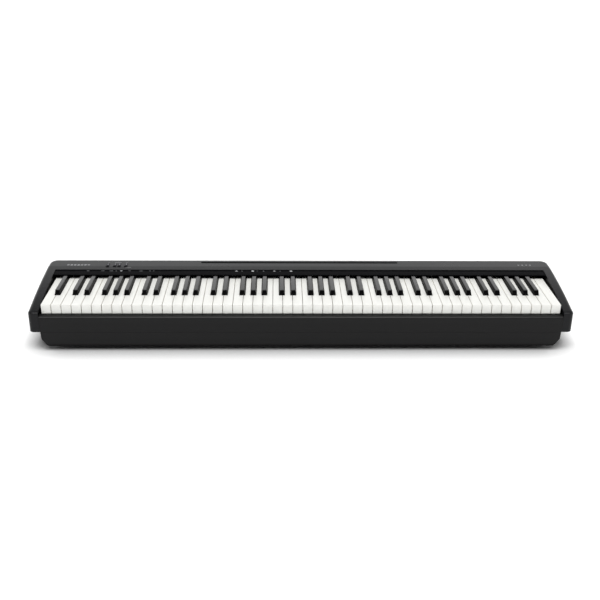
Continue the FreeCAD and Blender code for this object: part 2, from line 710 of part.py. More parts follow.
def turned(name, corners):
    """A round piece turned from a half section about the vertical axis."""
    body = new_body(name)
    sketch = start_sketch(body, "XZ_Plane", None)
    add_outline(sketch, corners)
    feature = body.newObject("PartDesign::Revolution", name + "_turn")
    feature.Profile = sketch
    feature.ReferenceAxis = (sketch, ["V_Axis"])
    feature.Angle = 360
    doc.recompute()
    return body


def speakers():
    """Two drivers that face down: basket, paper cone and magnet."""
    floor = "tray_bottom+wall"
    sections = {
        "speaker_frames": [("42", floor), ("52", floor), ("52", floor + "+2"), ("45", floor + "+2"),
                           ("28", "37"), ("10", "37"), ("10", "35"), ("26.5", "35")],
        "speaker_cones": [("8", "31"), ("39.5", floor + "+1"), ("39.5", floor + "+2"), ("8", "32")],
        "speaker_magnets": [("0", "37"), ("26", "37"), ("26", "50"), ("0", "50")],
    }
    for name, corners in sections.items():
        pair = []
        for side, label in ((-1, "left"), (1, "right")):
            body = turned(f"{name}_{label}", corners)
            place(body, x=f"{side}*speaker_x")
            pair.append(body)
        group(name, pair)


# ---------------------------------------------------------------- feet and fasteners

def rubber_feet():
    feet = []
    for side in (-1, 1):
        for y in ("foot_front", "foot_back"):
            foot = doc.addObject("Part::Cylinder", "rubber_foot")
            foot.setExpression("Radius", formula("foot_r"))
            foot.setExpression("Height", formula("tray_bottom"))
            place(foot, x=f"{side}*foot_x", y=y)
            feet.append(foot)
    group("rubber_feet", feet)


def stand_inserts():
    """Brass sleeves in the tray that a stand screws into."""
    sleeves = []
    for side in (-1, 1):
        for y in ("stand_front", "stand_back"):
            body = new_body("stand_insert")
            sketch = circles_sketch(body, [("0", "0")], "insert_r-0.02", offset="tray_bottom+0.2")
            add_circle(sketch, "0", "0", "stand_hole_r")
            pad(body, sketch, "11.5")
            place(body, x=f"{side}*stand_x", y=y)
            sleeves.append(body)
    group("stand_inserts", sleeves)


def screw(x, y, z, length, shank, head, thick, up=True):
    """A pan-head screw with its head's outer face at z."""
    core = doc.addObject("Part::Cylinder", "screw_shank")
    core.Radius = shank
    core.Height = length
    cap = doc.addObject("Part::Cylinder", "screw_head")
    cap.Radius = head
    cap.Height = thick
    whole = doc.addObject("Part::Fuse", "screw")
    whole.Base = core
    whole.Tool = cap
    turn = FreeCAD.Rotation() if up else FreeCAD.Rotation(FreeCAD.Vector(1, 0, 0), 180)
    whole.Placement = FreeCAD.Placement(FreeCAD.Vector(x, y, z), turn)
    return whole


def fasteners():
    heads = value("tray_bottom") - CASE_SCREW_HEAD
    case = [(x, REAR_SCREW_Y, 50) for x in REAR_SCREWS_X]
    case += [(x, FRONT_SCREW_Y, 48) for x in FRONT_SCREWS_X]
    group("case_screws", [screw(x, y, heads, length, value("screw_r"), CASE_SCREW_HEAD_R, CASE_SCREW_HEAD)
                          for x, y, length in case])
    top = value("tray_bottom+wall+board_post+board_wall") + 1.4
    places = MAIN_BOARD_SCREWS + JACK_BOARD_SCREWS
    group("board_screws", [screw(x, y, top, 4, 1.2, 2.4, 1.4, up=False) for x, y in places])


upper_case()
lower_case()
socket_panel()
front_rail()
fallboard_strip()
music_rest_channel()
keyboard()
keybed_frame()
key_pivot_shaft()
bar("key_stop_felt", "-felt_half", "felt_half", "-91", "-73", "stop_rib", "stop_felt_top")
bar("key_rest_felt", "-felt_half", "felt_half", "103", "114.5", "rest_rib", "rest_felt_top")
bar("contact_board", "-contact_half", "contact_half", "-6", "26", "contact_rib", "contact_rib+board_wall")
contact_strip()
buttons()
board("main_board", "-495", "-320", "-20", "60", "tray_bottom+wall+board_post", MAIN_BOARD_SCREWS,
      MAIN_BOARD_BLOCKS)
board("jack_board", "370", "530", "92", "116", "tray_bottom+wall+board_post", JACK_BOARD_SCREWS,
      JACK_BOARD_BLOCKS)
board("button_board", "-506", "-428", "84", "103", "key_level+deck_rise-button_board_drop-board_wall",
      BUTTON_BOARD_SCREWS, BUTTON_BOARD_BLOCKS)
jacks()
flat_cables()
speakers()
rubber_feet()
stand_inserts()
fasteners()

doc.recompute()
for item in doc.Objects:
    if any(word in item.State for word in ("Invalid", "Error")):
        raise ValueError(f"{item.Name} did not build: {item.State}")
os.makedirs("parts", exist_ok=True)
for node in nodes:
    if node.Shape.isNull() or not node.Shape.isValid():
        raise ValueError(node.Label + " is not a valid solid")
    node.Shape.exportStep(os.path.join("parts", node.Label + ".step"))
print(len(nodes), "sub-parts written")
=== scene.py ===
import logging
import math
from dataclasses import dataclass
from enum import Enum
from typing import Callable, Iterable, Sequence

import bmesh
import bpy
from mathutils import Matrix, Vector


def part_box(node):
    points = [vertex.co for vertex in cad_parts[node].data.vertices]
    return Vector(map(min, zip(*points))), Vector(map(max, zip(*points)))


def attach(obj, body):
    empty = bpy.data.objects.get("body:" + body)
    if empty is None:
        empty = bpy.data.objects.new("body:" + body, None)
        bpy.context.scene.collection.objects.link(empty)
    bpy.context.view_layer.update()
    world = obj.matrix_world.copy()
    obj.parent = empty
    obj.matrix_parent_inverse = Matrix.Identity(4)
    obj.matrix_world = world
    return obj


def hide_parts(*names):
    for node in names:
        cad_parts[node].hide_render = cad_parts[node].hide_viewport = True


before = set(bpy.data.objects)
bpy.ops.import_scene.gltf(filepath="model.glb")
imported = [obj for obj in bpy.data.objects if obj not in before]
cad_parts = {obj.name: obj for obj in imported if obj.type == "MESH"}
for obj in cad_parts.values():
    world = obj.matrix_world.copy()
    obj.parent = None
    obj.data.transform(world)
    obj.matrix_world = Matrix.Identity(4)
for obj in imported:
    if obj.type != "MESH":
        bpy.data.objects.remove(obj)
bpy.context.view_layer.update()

MM = 0.001
BODY = "piano"
TINY = 1e-6
log = logging.getLogger("piano")

Outline = Sequence[tuple[float, float]]
Node = bpy.types.Node
Socket = bpy.types.NodeSocket
Face = bmesh.types.BMFace
Edge = bmesh.types.BMEdge
Vert = bmesh.types.BMVert


class Axis(Enum):
    """The direction in which an outline is drawn out into a solid."""

    X = (0, 1, 2)
    Y = (1, 0, 2)
    Z = (2, 0, 1)

    def point(self, first: float, second: float, along: float) -> Vector:
        """The place of an outline point, with the given distance along this axis."""
        place = Vector((0.0, 0.0, 0.0))
        place[self.value[0]] = along
        place[self.value[1]] = first
        place[self.value[2]] = second
        return place


# ------------------------------------------------------------------ mesh tools


class Model:
    """A mesh while it is being made, in metres, in the frame of the whole piano."""

    def __init__(self) -> None:
        """Starts with nothing."""
        self.bm = bmesh.new()

    def prism(self, outline: Outline, axis: Axis, start: float, end: float) -> list[Face]:
        """Draws a closed outline out into a solid.

        Args:
            outline: the corners, in the two directions that aren't the axis.
            axis: the direction it is drawn out in.
            start: where the solid begins along the axis.
            end: where it ends.

        Returns:
            The faces of the new solid.
        """
        corners = [self.bm.verts.new(axis.point(a, b, start)) for a, b in outline]
        base = self.bm.faces.new(corners)
        known = set(self.bm.faces)
        grown = bmesh.ops.extrude_face_region(self.bm, geom=[base], use_keep_orig=True)["geom"]
        moved = [g for g in grown if isinstance(g, Vert)]
        bmesh.ops.translate(self.bm, verts=moved, vec=axis.point(0.0, 0.0, end - start))
        faces = [f for f in self.bm.faces if f not in known] + [base]
        bmesh.ops.recalc_face_normals(self.bm, faces=faces)
        return faces

    def block(self, low: Vector, high: Vector) -> list[Vert]:
        """Adds a box between two corners and returns its vertices."""
        made = bmesh.ops.create_cube(self.bm, size=1.0)["verts"]
        size = high - low
        bmesh.ops.scale(self.bm, vec=size, verts=made)
        bmesh.ops.translate(self.bm, vec=(low + high) / 2, verts=made)
        return made

    def disc(self, centre: Vector, radius: float, height: float, steps: int = 24,
             top_radius: float | None = None) -> list[Vert]:
        """Adds an upright round solid that stands on centre and returns its vertices."""
        made = bmesh.ops.create_cone(
            self.bm, cap_ends=True, segments=steps, radius1=radius,
            radius2=radius if top_radius is None else top_radius, depth=height)["verts"]
        bmesh.ops.translate(self.bm, vec=centre + Vector((0, 0, height / 2)), verts=made)
        return made

    def edges_where(self, test: Callable[[Vector, Vector], bool]) -> list[Edge]:
        """The edges whose two ends pass a test."""
        return [e for e in self.bm.edges if test(e.verts[0].co, e.verts[1].co)]

    def new_uprights(self, known: set[Edge]) -> list[Edge]:
        """The upright edges that were added since a set of edges was taken."""
        return [e for e in self.bm.edges
                if e not in known and abs(e.verts[0].co.z - e.verts[1].co.z) > 2 * MM]

    def round_over(self, edges: Iterable[Edge], width: float, segments: int = 3) -> None:
        """Rounds some edges to a width."""
        chosen = list(edges)
        if chosen:
            bmesh.ops.bevel(self.bm, geom=chosen, offset=width, offset_type="OFFSET", segments=segments,
                            profile=0.5, affect="EDGES", clamp_overlap=True, material=-1)

    def slice_across(self, axis: Axis, places: Iterable[float]) -> None:
        """Adds loops of edges across the mesh, square to an axis."""
        for place in places:
            geometry = list(self.bm.verts) + list(self.bm.edges) + list(self.bm.faces)
            bmesh.ops.bisect_plane(self.bm, geom=geometry, dist=1e-7, plane_co=axis.point(0, 0, place),
                                   plane_no=axis.point(0, 0, 1))

    def to_object(self, name: str, sharp: float = 32.0) -> bpy.types.Object:
        """Turns the mesh into an object with smooth faces and sharp corners.

        Args:
            name: the piece's name.
            sharp: edges that turn by more than this many degrees stay sharp.

        Returns:
            The new object, linked to the scene.
        """
        bmesh.ops.remove_doubles(self.bm, verts=self.bm.verts, dist=1e-7)
        mark_sharp(self.bm, sharp)
        mesh = bpy.data.meshes.new(name)
        self.bm.to_mesh(mesh)
        self.bm.free()
        piece = bpy.data.objects.new(name, mesh)
        bpy.context.scene.collection.objects.link(piece)
        return piece


def mark_sharp(bm: bmesh.types.BMesh, degrees: float) -> None:
    """Makes every face smooth and every edge over an angle sharp."""
    for face in bm.faces:
        face.smooth = True
    limit = math.radians(degrees)
    for edge in bm.edges:
        edge.smooth = len(edge.link_faces) == 2 and edge.calc_face_angle(0.0) < limit


def bake_modifiers(piece: bpy.types.Object, sharp: float = 32.0) -> None:
    """Replaces a piece's mesh by what its modifiers make of it."""
    graph = bpy.context.evaluated_depsgraph_get()
    graph.update()
    mesh = bpy.data.meshes.new_from_object(piece.evaluated_get(graph))
    piece.modifiers.clear()
    old = piece.data
    piece.data = mesh
    bpy.data.meshes.remove(old)
    bm = bmesh.new()
    bm.from_mesh(mesh)
    bmesh.ops.remove_doubles(bm, verts=bm.verts, dist=1e-6)
    mark_sharp(bm, sharp)
    bm.to_mesh(mesh)
    bm.free()


def carve(piece: bpy.types.Object, cutter: Model) -> None:
    """Cuts every solid of a cutter out of a piece."""
    tool = cutter.to_object(piece.name + "_cutter")
    cutting = piece.modifiers.new("carve", "BOOLEAN")
    cutting.operation = "DIFFERENCE"
    cutting.solver = "EXACT"
    cutting.object = tool
    bake_modifiers(piece)
    bpy.data.objects.remove(tool)


def soften(piece: bpy.types.Object, width: float, segments: int = 2, degrees: float = 40.0) -> None:
    """Rounds every sharp edge of a finished shape by a small width."""
    rounding = piece.modifiers.new("soften", "BEVEL")
    rounding.width = width
    rounding.segments = segments
    rounding.limit_method = "ANGLE"
    rounding.angle_limit = math.radians(degrees)
    rounding.miter_outer = "MITER_ARC"
    rounding.use_clamp_overlap = True
    bake_modifiers(piece, sharp=50.0)


def even_shading(piece: bpy.types.Object) -> None:
    """Lets the large faces decide the shading beside narrow rounded edges."""
    weighting = piece.modifiers.new("even_shading", "WEIGHTED_NORMAL")
    weighting.keep_sharp = True
    weighting.weight = 90


# ------------------------------------------------------------------ finishes


class Sheet:
    """A shader node tree with short calls to add and join nodes."""

    def __init__(self, tree: bpy.types.NodeTree) -> None:
        """Works on one node tree."""
        self.tree = tree

    def add(self, kind: str, **values: object) -> Node:
        """Adds a node; values are its own settings, such as a math operation."""
        node = self.tree.nodes.new(kind)
        for name, value in values.items():
            setattr(node, name, value)
        return node

    def put(self, socket: Socket, source: object) -> None:
        """Joins a socket to another one, or sets its value."""
        if isinstance(source, Socket):
            self.tree.links.new(source, socket)
        else:
            socket.default_value = source

    def math(self, operation: str, first: object, second: object = 0.0) -> Socket:
        """A math node's result."""
        node = self.add("ShaderNodeMath", operation=operation)
        self.put(node.inputs[0], first)
        self.put(node.inputs[1], second)
        return node.outputs[0]

    def blend(self, factor: object, first: object, second: object, mode: str = "MIX") -> Socket:
        """A colour between two colours."""
        node = self.add("ShaderNodeMix", data_type="RGBA", blend_type=mode)
        self.put(node.inputs[0], factor)
        self.put(node.inputs[6], first)
        self.put(node.inputs[7], second)
        return node.outputs[2]

    def noise(self, vector: object, scale: object, detail: float = 3.0,
              roughness: float = 0.5) -> Socket:
        """A noise value over the surface."""
        node = self.add("ShaderNodeTexNoise")
        self.put(node.inputs["Vector"], vector)
        self.put(node.inputs["Scale"], scale)
        node.inputs["Detail"].default_value = detail
        node.inputs["Roughness"].default_value = roughness
        return node.outputs[0]

    def ramp(self, factor: object, low: float, high: float) -> Socket:
        """A value that rises from 0 at low to 1 at high."""
        node = self.add("ShaderNodeMapRange")
        node.clamp = True
        self.put(node.inputs["Value"], factor)
        node.inputs["From Min"].default_value = low
        node.inputs["From Max"].default_value = high
        return node.outputs[0]

    def part(self, vector: object, axis: str) -> Socket:
        """One coordinate of a vector."""
        node = self.add("ShaderNodeSeparateXYZ")
        self.put(node.inputs[0], vector)
        return node.outputs[axis]

    def facing(self, axis: str) -> Socket:
        """How far the surface faces along an axis, from -1 to 1."""
        return self.part(self.add("ShaderNodeNewGeometry").outputs["Normal"], axis)

    def stretched(self, vector: object, scale: tuple[float, float, float]) -> Socket:
        """A pattern's coordinates, stretched along the axes."""
        node = self.add("ShaderNodeMapping")
        self.put(node.inputs["Vector"], vector)
        node.inputs["Scale"].default_value = scale
        return node.outputs[0]


def new_group(name: str, takes: dict[str, tuple[str, object]],
              gives: Iterable[str]) -> tuple[bpy.types.NodeTree, Sheet, Node, Node]:
    """Starts a shader node group with named sockets.

    Args:
        name: the group's name.
        takes: each input's kind, such as NodeSocketFloat, and first value.
        gives: the names of its value outputs.

    Returns:
        The group's tree, a sheet on it, and its input and output nodes.
    """
    tree = bpy.data.node_groups.new(name, "ShaderNodeTree")
    for label, (kind, first) in takes.items():
        socket = tree.interface.new_socket(name=label, in_out="INPUT", socket_type=kind)
        if first is not None:
            socket.default_value = first
    for label in gives:
        tree.interface.new_socket(name=label, in_out="OUTPUT", socket_type="NodeSocketFloat")
    sheet = Sheet(tree)
    return tree, sheet, sheet.add("NodeGroupInput"), sheet.add("NodeGroupOutput")


def grain_group() -> bpy.types.NodeTree:
    """The fine pebbled texture of a mould, as a height and as a mask of its hollows."""
    tree, sheet, given, result = new_group(
        "mould_grain", {"Vector": ("NodeSocketVector", None), "Size": ("NodeSocketFloat", 900.0)},
        ("Height", "Hollows"))
    cells = sheet.add("ShaderNodeTexVoronoi", feature="SMOOTH_F1")
    sheet.put(cells.inputs["Vector"], given.outputs["Vector"])
    sheet.put(cells.inputs["Scale"], given.outputs["Size"])
    fine = sheet.noise(given.outputs["Vector"], sheet.math("MULTIPLY", given.outputs["Size"], 2.3), 2.0)
    height = sheet.math("ADD", sheet.math("MULTIPLY", cells.outputs["Distance"], 0.7),
                        sheet.math("MULTIPLY", fine, 0.5))
    sheet.put(result.inputs["Height"], height)
    sheet.put(result.inputs["Hollows"], sheet.ramp(height, 0.55, 0.2))
    return tree


def handling_group() -> bpy.types.NodeTree:
    """Soft smudges where hands have been, as a mask."""
    tree, sheet, given, result = new_group(
        "handling", {"Vector": ("NodeSocketVector", None), "Size": ("NodeSocketFloat", 9.0)}, ("Smudge",))
    broad = sheet.noise(given.outputs["Vector"], given.outputs["Size"], 4.0, 0.55)
    small = sheet.noise(given.outputs["Vector"], sheet.math("MULTIPLY", given.outputs["Size"], 7.0), 3.0)
    mixed = sheet.math("ADD", sheet.math("MULTIPLY", broad, 0.75), sheet.math("MULTIPLY", small, 0.25))
    sheet.put(result.inputs["Smudge"], sheet.ramp(mixed, 0.38, 0.64))
    return tree


def dust_group() -> bpy.types.NodeTree:
    """A trace of dust on faces that look up, as a mask."""
    tree, sheet, given, result = new_group(
        "settled_dust", {"Vector": ("NodeSocketVector", None), "Amount": ("NodeSocketFloat", 0.1)}, ("Dust",))
    upward = sheet.ramp(sheet.facing("Z"), 0.55, 1.0)
    specks = sheet.ramp(sheet.noise(given.outputs["Vector"], 420.0, 3.0, 0.7), 0.42, 0.75)
    patches = sheet.ramp(sheet.noise(given.outputs["Vector"], 5.0, 2.0), 0.3, 0.7)
    cover = sheet.math("MULTIPLY", upward, sheet.math("MULTIPLY", specks, sheet.math("ADD", patches, 0.35)))
    sheet.put(result.inputs["Dust"], sheet.math("MULTIPLY", cover, given.outputs["Amount"]))
    return tree


class Effects:
    """The shader groups that several finishes share, each built once."""

    _made: dict[str, bpy.types.NodeTree] = {}
    _makers: dict[str, Callable[[], bpy.types.NodeTree]] = {
        "mould_grain": grain_group, "handling": handling_group, "settled_dust": dust_group}

    @classmethod
    def use(cls, sheet: Sheet, name: str, **values: object) -> Node:
        """Places a group in a material's sheet with its own values."""
        if name not in cls._made:
            cls._made[name] = cls._makers[name]()
        node = sheet.add("ShaderNodeGroup")
        node.node_tree = cls._made[name]
        for label, value in values.items():
            sheet.put(node.inputs[label], value)
        return node


@dataclass(frozen=True)
class Finish:
    """A surface finish: what its base does, before a kind of finish adds to it."""

    name: str
    colour: tuple[float, float, float]
    roughness: float = 0.5

    def material(self) -> bpy.types.Material:
        """The material of this finish, made once and then shared."""
        known = bpy.data.materials.get(self.name)
        if known is not None:
            return known
        made = bpy.data.materials.new(self.name)
        made.use_nodes = True
        made.node_tree.nodes.clear()
        sheet = Sheet(made.node_tree)
        surface = sheet.add("ShaderNodeBsdfPrincipled")
        surface.inputs["Base Color"].default_value = (*self.colour, 1.0)
        surface.inputs["Roughness"].default_value = self.roughness
        output = sheet.add("ShaderNodeOutputMaterial")
        sheet.put(output.inputs["Surface"], surface.outputs[0])
        place = sheet.add("ShaderNodeTexCoord").outputs["Object"]
        self.dress(sheet, surface, place)
        return made

    def dress(self, sheet: Sheet, surface: Node, place: Socket) -> None:
        """Adds this kind of finish to the plain surface.

        Args:
            sheet: the material's node sheet.
            surface: its Principled shader.
            place: the object coordinates.
        """

    def coat(self, sheet: Sheet, surface: Node, mask: Socket, gloss: float, least: float) -> None:
        """Gives a surface a least gloss everywhere, and the rest as a coat where a mask is 1.

        Args:
            sheet: the material's node sheet.
            surface: its Principled shader.
            mask: where the full gloss shows.
            gloss: the full gloss; 0.5 is that of plain plastic.
            least: the gloss that is left where the mask is 0.
        """
        surface.inputs["Specular IOR Level"].default_value = least
        surface.inputs["Coat Roughness"].default_value = self.roughness
        sheet.put(surface.inputs["Coat Weight"], sheet.math("MULTIPLY", mask, (gloss - least) * 2))

    def rgba(self, factor: float = 1.0) -> tuple[float, float, float, float]:
        """The finish's colour, made lighter or darker."""
        red, green, blue = (min(1.0, part * factor) for part in self.colour)
        return red, green, blue, 1.0


def bump(sheet: Sheet, surface: Node, height: Socket, depth: float) -> None:
    """Feeds a height, from 0 to 1, into a surface's normal; depth is that of the full height, in metres."""
    node = sheet.add("ShaderNodeBump")
    node.inputs["Strength"].default_value = 1.0
    node.inputs["Distance"].default_value = depth
    sheet.put(node.inputs["Height"], height)
    sheet.put(surface.inputs["Normal"], node.outputs[0])


@dataclass(frozen=True)
class MouldedPlastic(Finish):
    """Injection-moulded plastic with a fine grain, faint smudges, a trace of dust, and painted shade on faces
    that look down.
    """

    grain: float = 1100.0
    depth: float = 0.00004
    gloss: float = 0.5
    dust: float = 0.05
    # Share of the gloss left on faces that look down: painted shade on the undersides.
    under: float = 1.0

    def dress(self, sheet: Sheet, surface: Node, place: Socket) -> None:
        """Adds grain, smudges, dust, and painted shade: less gloss on faces that look down."""
        # Painted shade: faces that look down keep only a share of the gloss, though the plastic itself is the
        # same.
        unshaded_gloss_mask = sheet.ramp(sheet.facing("Z"), -0.75, -0.05)
        self.coat(sheet, surface, unshaded_gloss_mask, self.gloss, self.gloss * self.under)
        grain = Effects.use(sheet, "mould_grain", Vector=place, Size=self.grain)
        smudge = Effects.use(sheet, "handling", Vector=place).outputs["Smudge"]
        dust = Effects.use(sheet, "settled_dust", Vector=place, Amount=self.dust).outputs["Dust"]
        tone = sheet.blend(grain.outputs["Hollows"], self.rgba(1.12), self.rgba(0.82))
        tone = sheet.blend(sheet.math("MULTIPLY", smudge, 0.35), tone, self.rgba(0.9))
        sheet.put(surface.inputs["Base Color"], sheet.blend(dust, tone, (0.42, 0.42, 0.43, 1.0)))
        rough = sheet.math("ADD", sheet.math("MULTIPLY", smudge, -0.05), self.roughness + 0.02)
        rough = sheet.math("ADD", rough, sheet.math("MULTIPLY", grain.outputs["Hollows"], 0.05))
        sheet.put(surface.inputs["Roughness"], rough)
        bump(sheet, surface, grain.outputs["Height"], self.depth)


@dataclass(frozen=True)
class KeyPlastic(Finish):
    """The covering of a key: dense plastic with a faint lengthwise grain, painted light towards the rear of
    the key, and painted shade on its sides.
    """

    streaks: float = 0.03
    depth: float = 0.00001
    gloss: float = 0.5
    edge_tint: tuple[float, float, float] = (0.80, 0.78, 0.70)
    # Painted shade on the sides: a darker tint on faces that look sideways, and a lesser gloss on faces that
    # don't look up.
    side_shade_tint: tuple[float, float, float] = (0.80, 0.77, 0.70)
    side_shade_gloss: float = 0.3
    # Painted light: how much lighter the colour is made towards the rear of the key.
    tail_painted_light: float = 1.0

    def dress(self, sheet: Sheet, surface: Node, place: Socket) -> None:
        """Adds lengthwise grain, tone changes from key to key, light wear, painted light towards the rear of
        the key and painted shade on its sides.
        """
        long = sheet.stretched(place, (1.0, 0.045, 1.0))
        lines = sheet.noise(long, 1500.0, 3.0, 0.6)
        broad = sheet.noise(sheet.stretched(place, (1.0, 0.2, 1.0)), 38.0, 2.0)
        tone = sheet.blend(sheet.ramp(lines, 0.3, 0.7), self.rgba(1.0 - self.streaks), self.rgba(1.0))
        tone = sheet.blend(sheet.math("MULTIPLY", sheet.ramp(broad, 0.45, 0.75), 0.10), tone,
                           (*self.edge_tint, 1.0), "MULTIPLY")
        # Painted light: the colour is made lighter towards the rear of the key.
        painted_tail_light = sheet.ramp(sheet.part(place, "Y"), -0.085, 0.035)
        tone = sheet.blend(painted_tail_light, tone, sheet.blend(1.0, tone, (self.tail_painted_light,) * 3 + (1.0,), "MULTIPLY"))
        # Painted shade: faces that look sideways are tinted darker.
        side_shade = sheet.ramp(sheet.math("ABSOLUTE", sheet.facing("X")), 0.6, 0.95)
        tone = sheet.blend(side_shade, tone, sheet.blend(1.0, tone, (*self.side_shade_tint, 1.0), "MULTIPLY"))
        sheet.put(surface.inputs["Base Color"], tone)
        # Painted shade: faces that don't look up keep only the lesser side gloss.
        upward = sheet.ramp(sheet.facing("Z"), 0.45, 0.85)
        self.coat(sheet, surface, upward, self.gloss, self.side_shade_gloss)
        smudge = Effects.use(sheet, "handling", Vector=place, Size=26.0).outputs["Smudge"]
        sheet.put(surface.inputs["Roughness"],
                  sheet.math("ADD", sheet.math("MULTIPLY", smudge, 0.09), self.roughness - 0.04))
        bump(sheet, surface, lines, self.depth)


@dataclass(frozen=True)
class BareMetal(Finish):
    """Metal with drawn or brushed lines along X."""

    lines: tuple[float, float, float] = (0.03, 1.0, 1.0)
    depth: float = 0.00001

    def dress(self, sheet: Sheet, surface: Node, place: Socket) -> None:
        """Adds brushed lines and a patchy plating tone."""
        surface.inputs["Metallic"].default_value = 1.0
        streak = sheet.noise(sheet.stretched(place, self.lines), 1800.0, 3.0, 0.6)
        patch = sheet.noise(place, 30.0, 3.0)
        tone = sheet.blend(sheet.ramp(patch, 0.35, 0.7), self.rgba(0.82), self.rgba(1.08))
        sheet.put(surface.inputs["Base Color"], sheet.blend(sheet.math("MULTIPLY", streak, 0.4), tone,
                                                            self.rgba(0.7)))
        sheet.put(surface.inputs["Roughness"],
                  sheet.math("ADD", sheet.math("MULTIPLY", streak, 0.22), self.roughness - 0.08))
        bump(sheet, surface, streak, self.depth)


@dataclass(frozen=True)
class Felt(Finish):
    """Pressed wool: matted fibres with a soft sheen."""

    def dress(self, sheet: Sheet, surface: Node, place: Socket) -> None:
        """Adds fibres in two directions and a fuzzy sheen."""
        surface.inputs["Sheen Weight"].default_value = 0.5
        surface.inputs["Specular IOR Level"].default_value = 0.2
        across = sheet.noise(sheet.stretched(place, (1.0, 0.2, 1.0)), 2600.0, 3.0, 0.7)
        along = sheet.noise(sheet.stretched(place, (0.2, 1.0, 1.0)), 2100.0, 3.0, 0.7)
        fibres = sheet.math("MAXIMUM", across, along)
        sheet.put(surface.inputs["Base Color"],
                  sheet.blend(sheet.ramp(fibres, 0.4, 0.75), self.rgba(0.6), self.rgba(1.3)))
        bump(sheet, surface, fibres, 0.00025)


@dataclass(frozen=True)
class Rubber(Finish):
    """Moulded rubber: dull, with a bloom and fine pores."""

    def dress(self, sheet: Sheet, surface: Node, place: Socket) -> None:
        """Adds pores, a pale bloom and dust."""
        surface.inputs["Specular IOR Level"].default_value = 0.3
        grain = Effects.use(sheet, "mould_grain", Vector=place, Size=700.0)
        bloom = sheet.ramp(sheet.noise(place, 60.0, 4.0, 0.6), 0.45, 0.75)
        tone = sheet.blend(sheet.math("MULTIPLY", bloom, 0.3), self.rgba(0.95), self.rgba(1.9))
        sheet.put(surface.inputs["Base Color"], tone)
        sheet.put(surface.inputs["Roughness"], sheet.math("ADD", sheet.math("MULTIPLY", bloom, 0.1),
                                                          self.roughness))
        bump(sheet, surface, grain.outputs["Height"], 0.00005)


@dataclass(frozen=True)
class CircuitBoard(Finish):
    """A green lacquered board: woven glass under the lacquer and lighter tracks."""

    def dress(self, sheet: Sheet, surface: Node, place: Socket) -> None:
        """Adds tracks, solder spots and the weave."""
        cells = sheet.add("ShaderNodeTexVoronoi", feature="DISTANCE_TO_EDGE", distance="EUCLIDEAN")
        sheet.put(cells.inputs["Vector"], sheet.stretched(place, (1.0, 1.6, 1.0)))
        cells.inputs["Scale"].default_value = 130.0
        cells.inputs["Randomness"].default_value = 0.35
        track = sheet.ramp(cells.outputs["Distance"], 0.09, 0.05)
        weave = sheet.noise(sheet.stretched(place, (1.0, 0.3, 1.0)), 1500.0, 2.0)
        tone = sheet.blend(track, self.rgba(0.8), self.rgba(1.7))
        sheet.put(surface.inputs["Base Color"], sheet.blend(sheet.math("MULTIPLY", weave, 0.3), tone,
                                                            self.rgba(0.6)))
        sheet.put(surface.inputs["Roughness"], sheet.math("ADD", sheet.math("MULTIPLY", track, 0.12),
                                                          self.roughness))
        bump(sheet, surface, track, 0.00004)


@dataclass(frozen=True)
class Printed(Finish):
    """Ink printed on plastic, with a slightly broken edge tone."""

    gloss: float = 0.5

    def dress(self, sheet: Sheet, surface: Node, place: Socket) -> None:
        """Adds a faint unevenness in the ink."""
        surface.inputs["Specular IOR Level"].default_value = self.gloss
        ink = sheet.noise(place, 2400.0, 3.0, 0.6)
        sheet.put(surface.inputs["Base Color"],
                  sheet.blend(sheet.ramp(ink, 0.35, 0.65), self.rgba(0.85), self.rgba(1.0)))


@dataclass(frozen=True)
class Ground(Finish):
    """A plain pale studio floor."""

    def dress(self, sheet: Sheet, surface: Node, place: Socket) -> None:
        """Keeps the floor dull, with a painted soft shadow close to what stands on it, and clear from below.
        """
        surface.inputs["Specular IOR Level"].default_value = 0.0
        cloud = sheet.noise(place, 3.0, 2.0)
        tone = sheet.blend(cloud, self.rgba(0.99), self.rgba(1.0))
        # Painted shadow: the floor colour darkens towards a dark grey where ambient occlusion finds something
        # close by.
        contact_shadow_ao = sheet.add("ShaderNodeAmbientOcclusion", samples=12)
        contact_shadow_ao.inputs["Distance"].default_value = 0.07
        clear = sheet.ramp(contact_shadow_ao.outputs["AO"], 0.44, 0.92)
        sheet.put(surface.inputs["Base Color"], sheet.blend(clear, self.rgba(0.43), tone))
        from_below = sheet.add("ShaderNodeMixShader")
        sheet.put(from_below.inputs[0], sheet.add("ShaderNodeNewGeometry").outputs["Backfacing"])
        sheet.put(from_below.inputs[1], surface.outputs[0])
        sheet.put(from_below.inputs[2], sheet.add("ShaderNodeBsdfTransparent").outputs[0])
        output = next(node for node in sheet.tree.nodes if node.type == "OUTPUT_MATERIAL")
        sheet.put(output.inputs["Surface"], from_below.outputs[0])


# The under values of the case and the tray keep less gloss on faces that look down: painted shade.
CASE_PLASTIC = MouldedPlastic("case_plastic", (0.0042, 0.0044, 0.0052), 0.30, gloss=0.19, dust=0.02,
                              under=0.3)
RAIL_PLASTIC = MouldedPlastic("rail_plastic", (0.0045, 0.0045, 0.0047), 0.34, gloss=0.18, dust=0.01)
TRAY_PLASTIC = MouldedPlastic("tray_plastic", (0.0045, 0.0045, 0.0047), 0.42, gloss=0.19, dust=0.0, under=0.1)
STRIP_PLASTIC = MouldedPlastic("strip_plastic", (0.0035, 0.0035, 0.0042), 0.40, grain=1600.0,
                               depth=0.00001, gloss=0.010, dust=0.01)
INNER_PLASTIC = MouldedPlastic("inner_plastic", (0.01, 0.01, 0.011), 0.6, dust=0.0)
SOCKET_PLASTIC = MouldedPlastic("socket_plastic", (0.014, 0.014, 0.015), 0.42, grain=1800.0, dust=0.0)
BUTTON_PLASTIC = MouldedPlastic("button_plastic", (0.003, 0.003, 0.0035), 0.45, grain=1800.0,
                                depth=0.00002, gloss=0.01, dust=0.0)
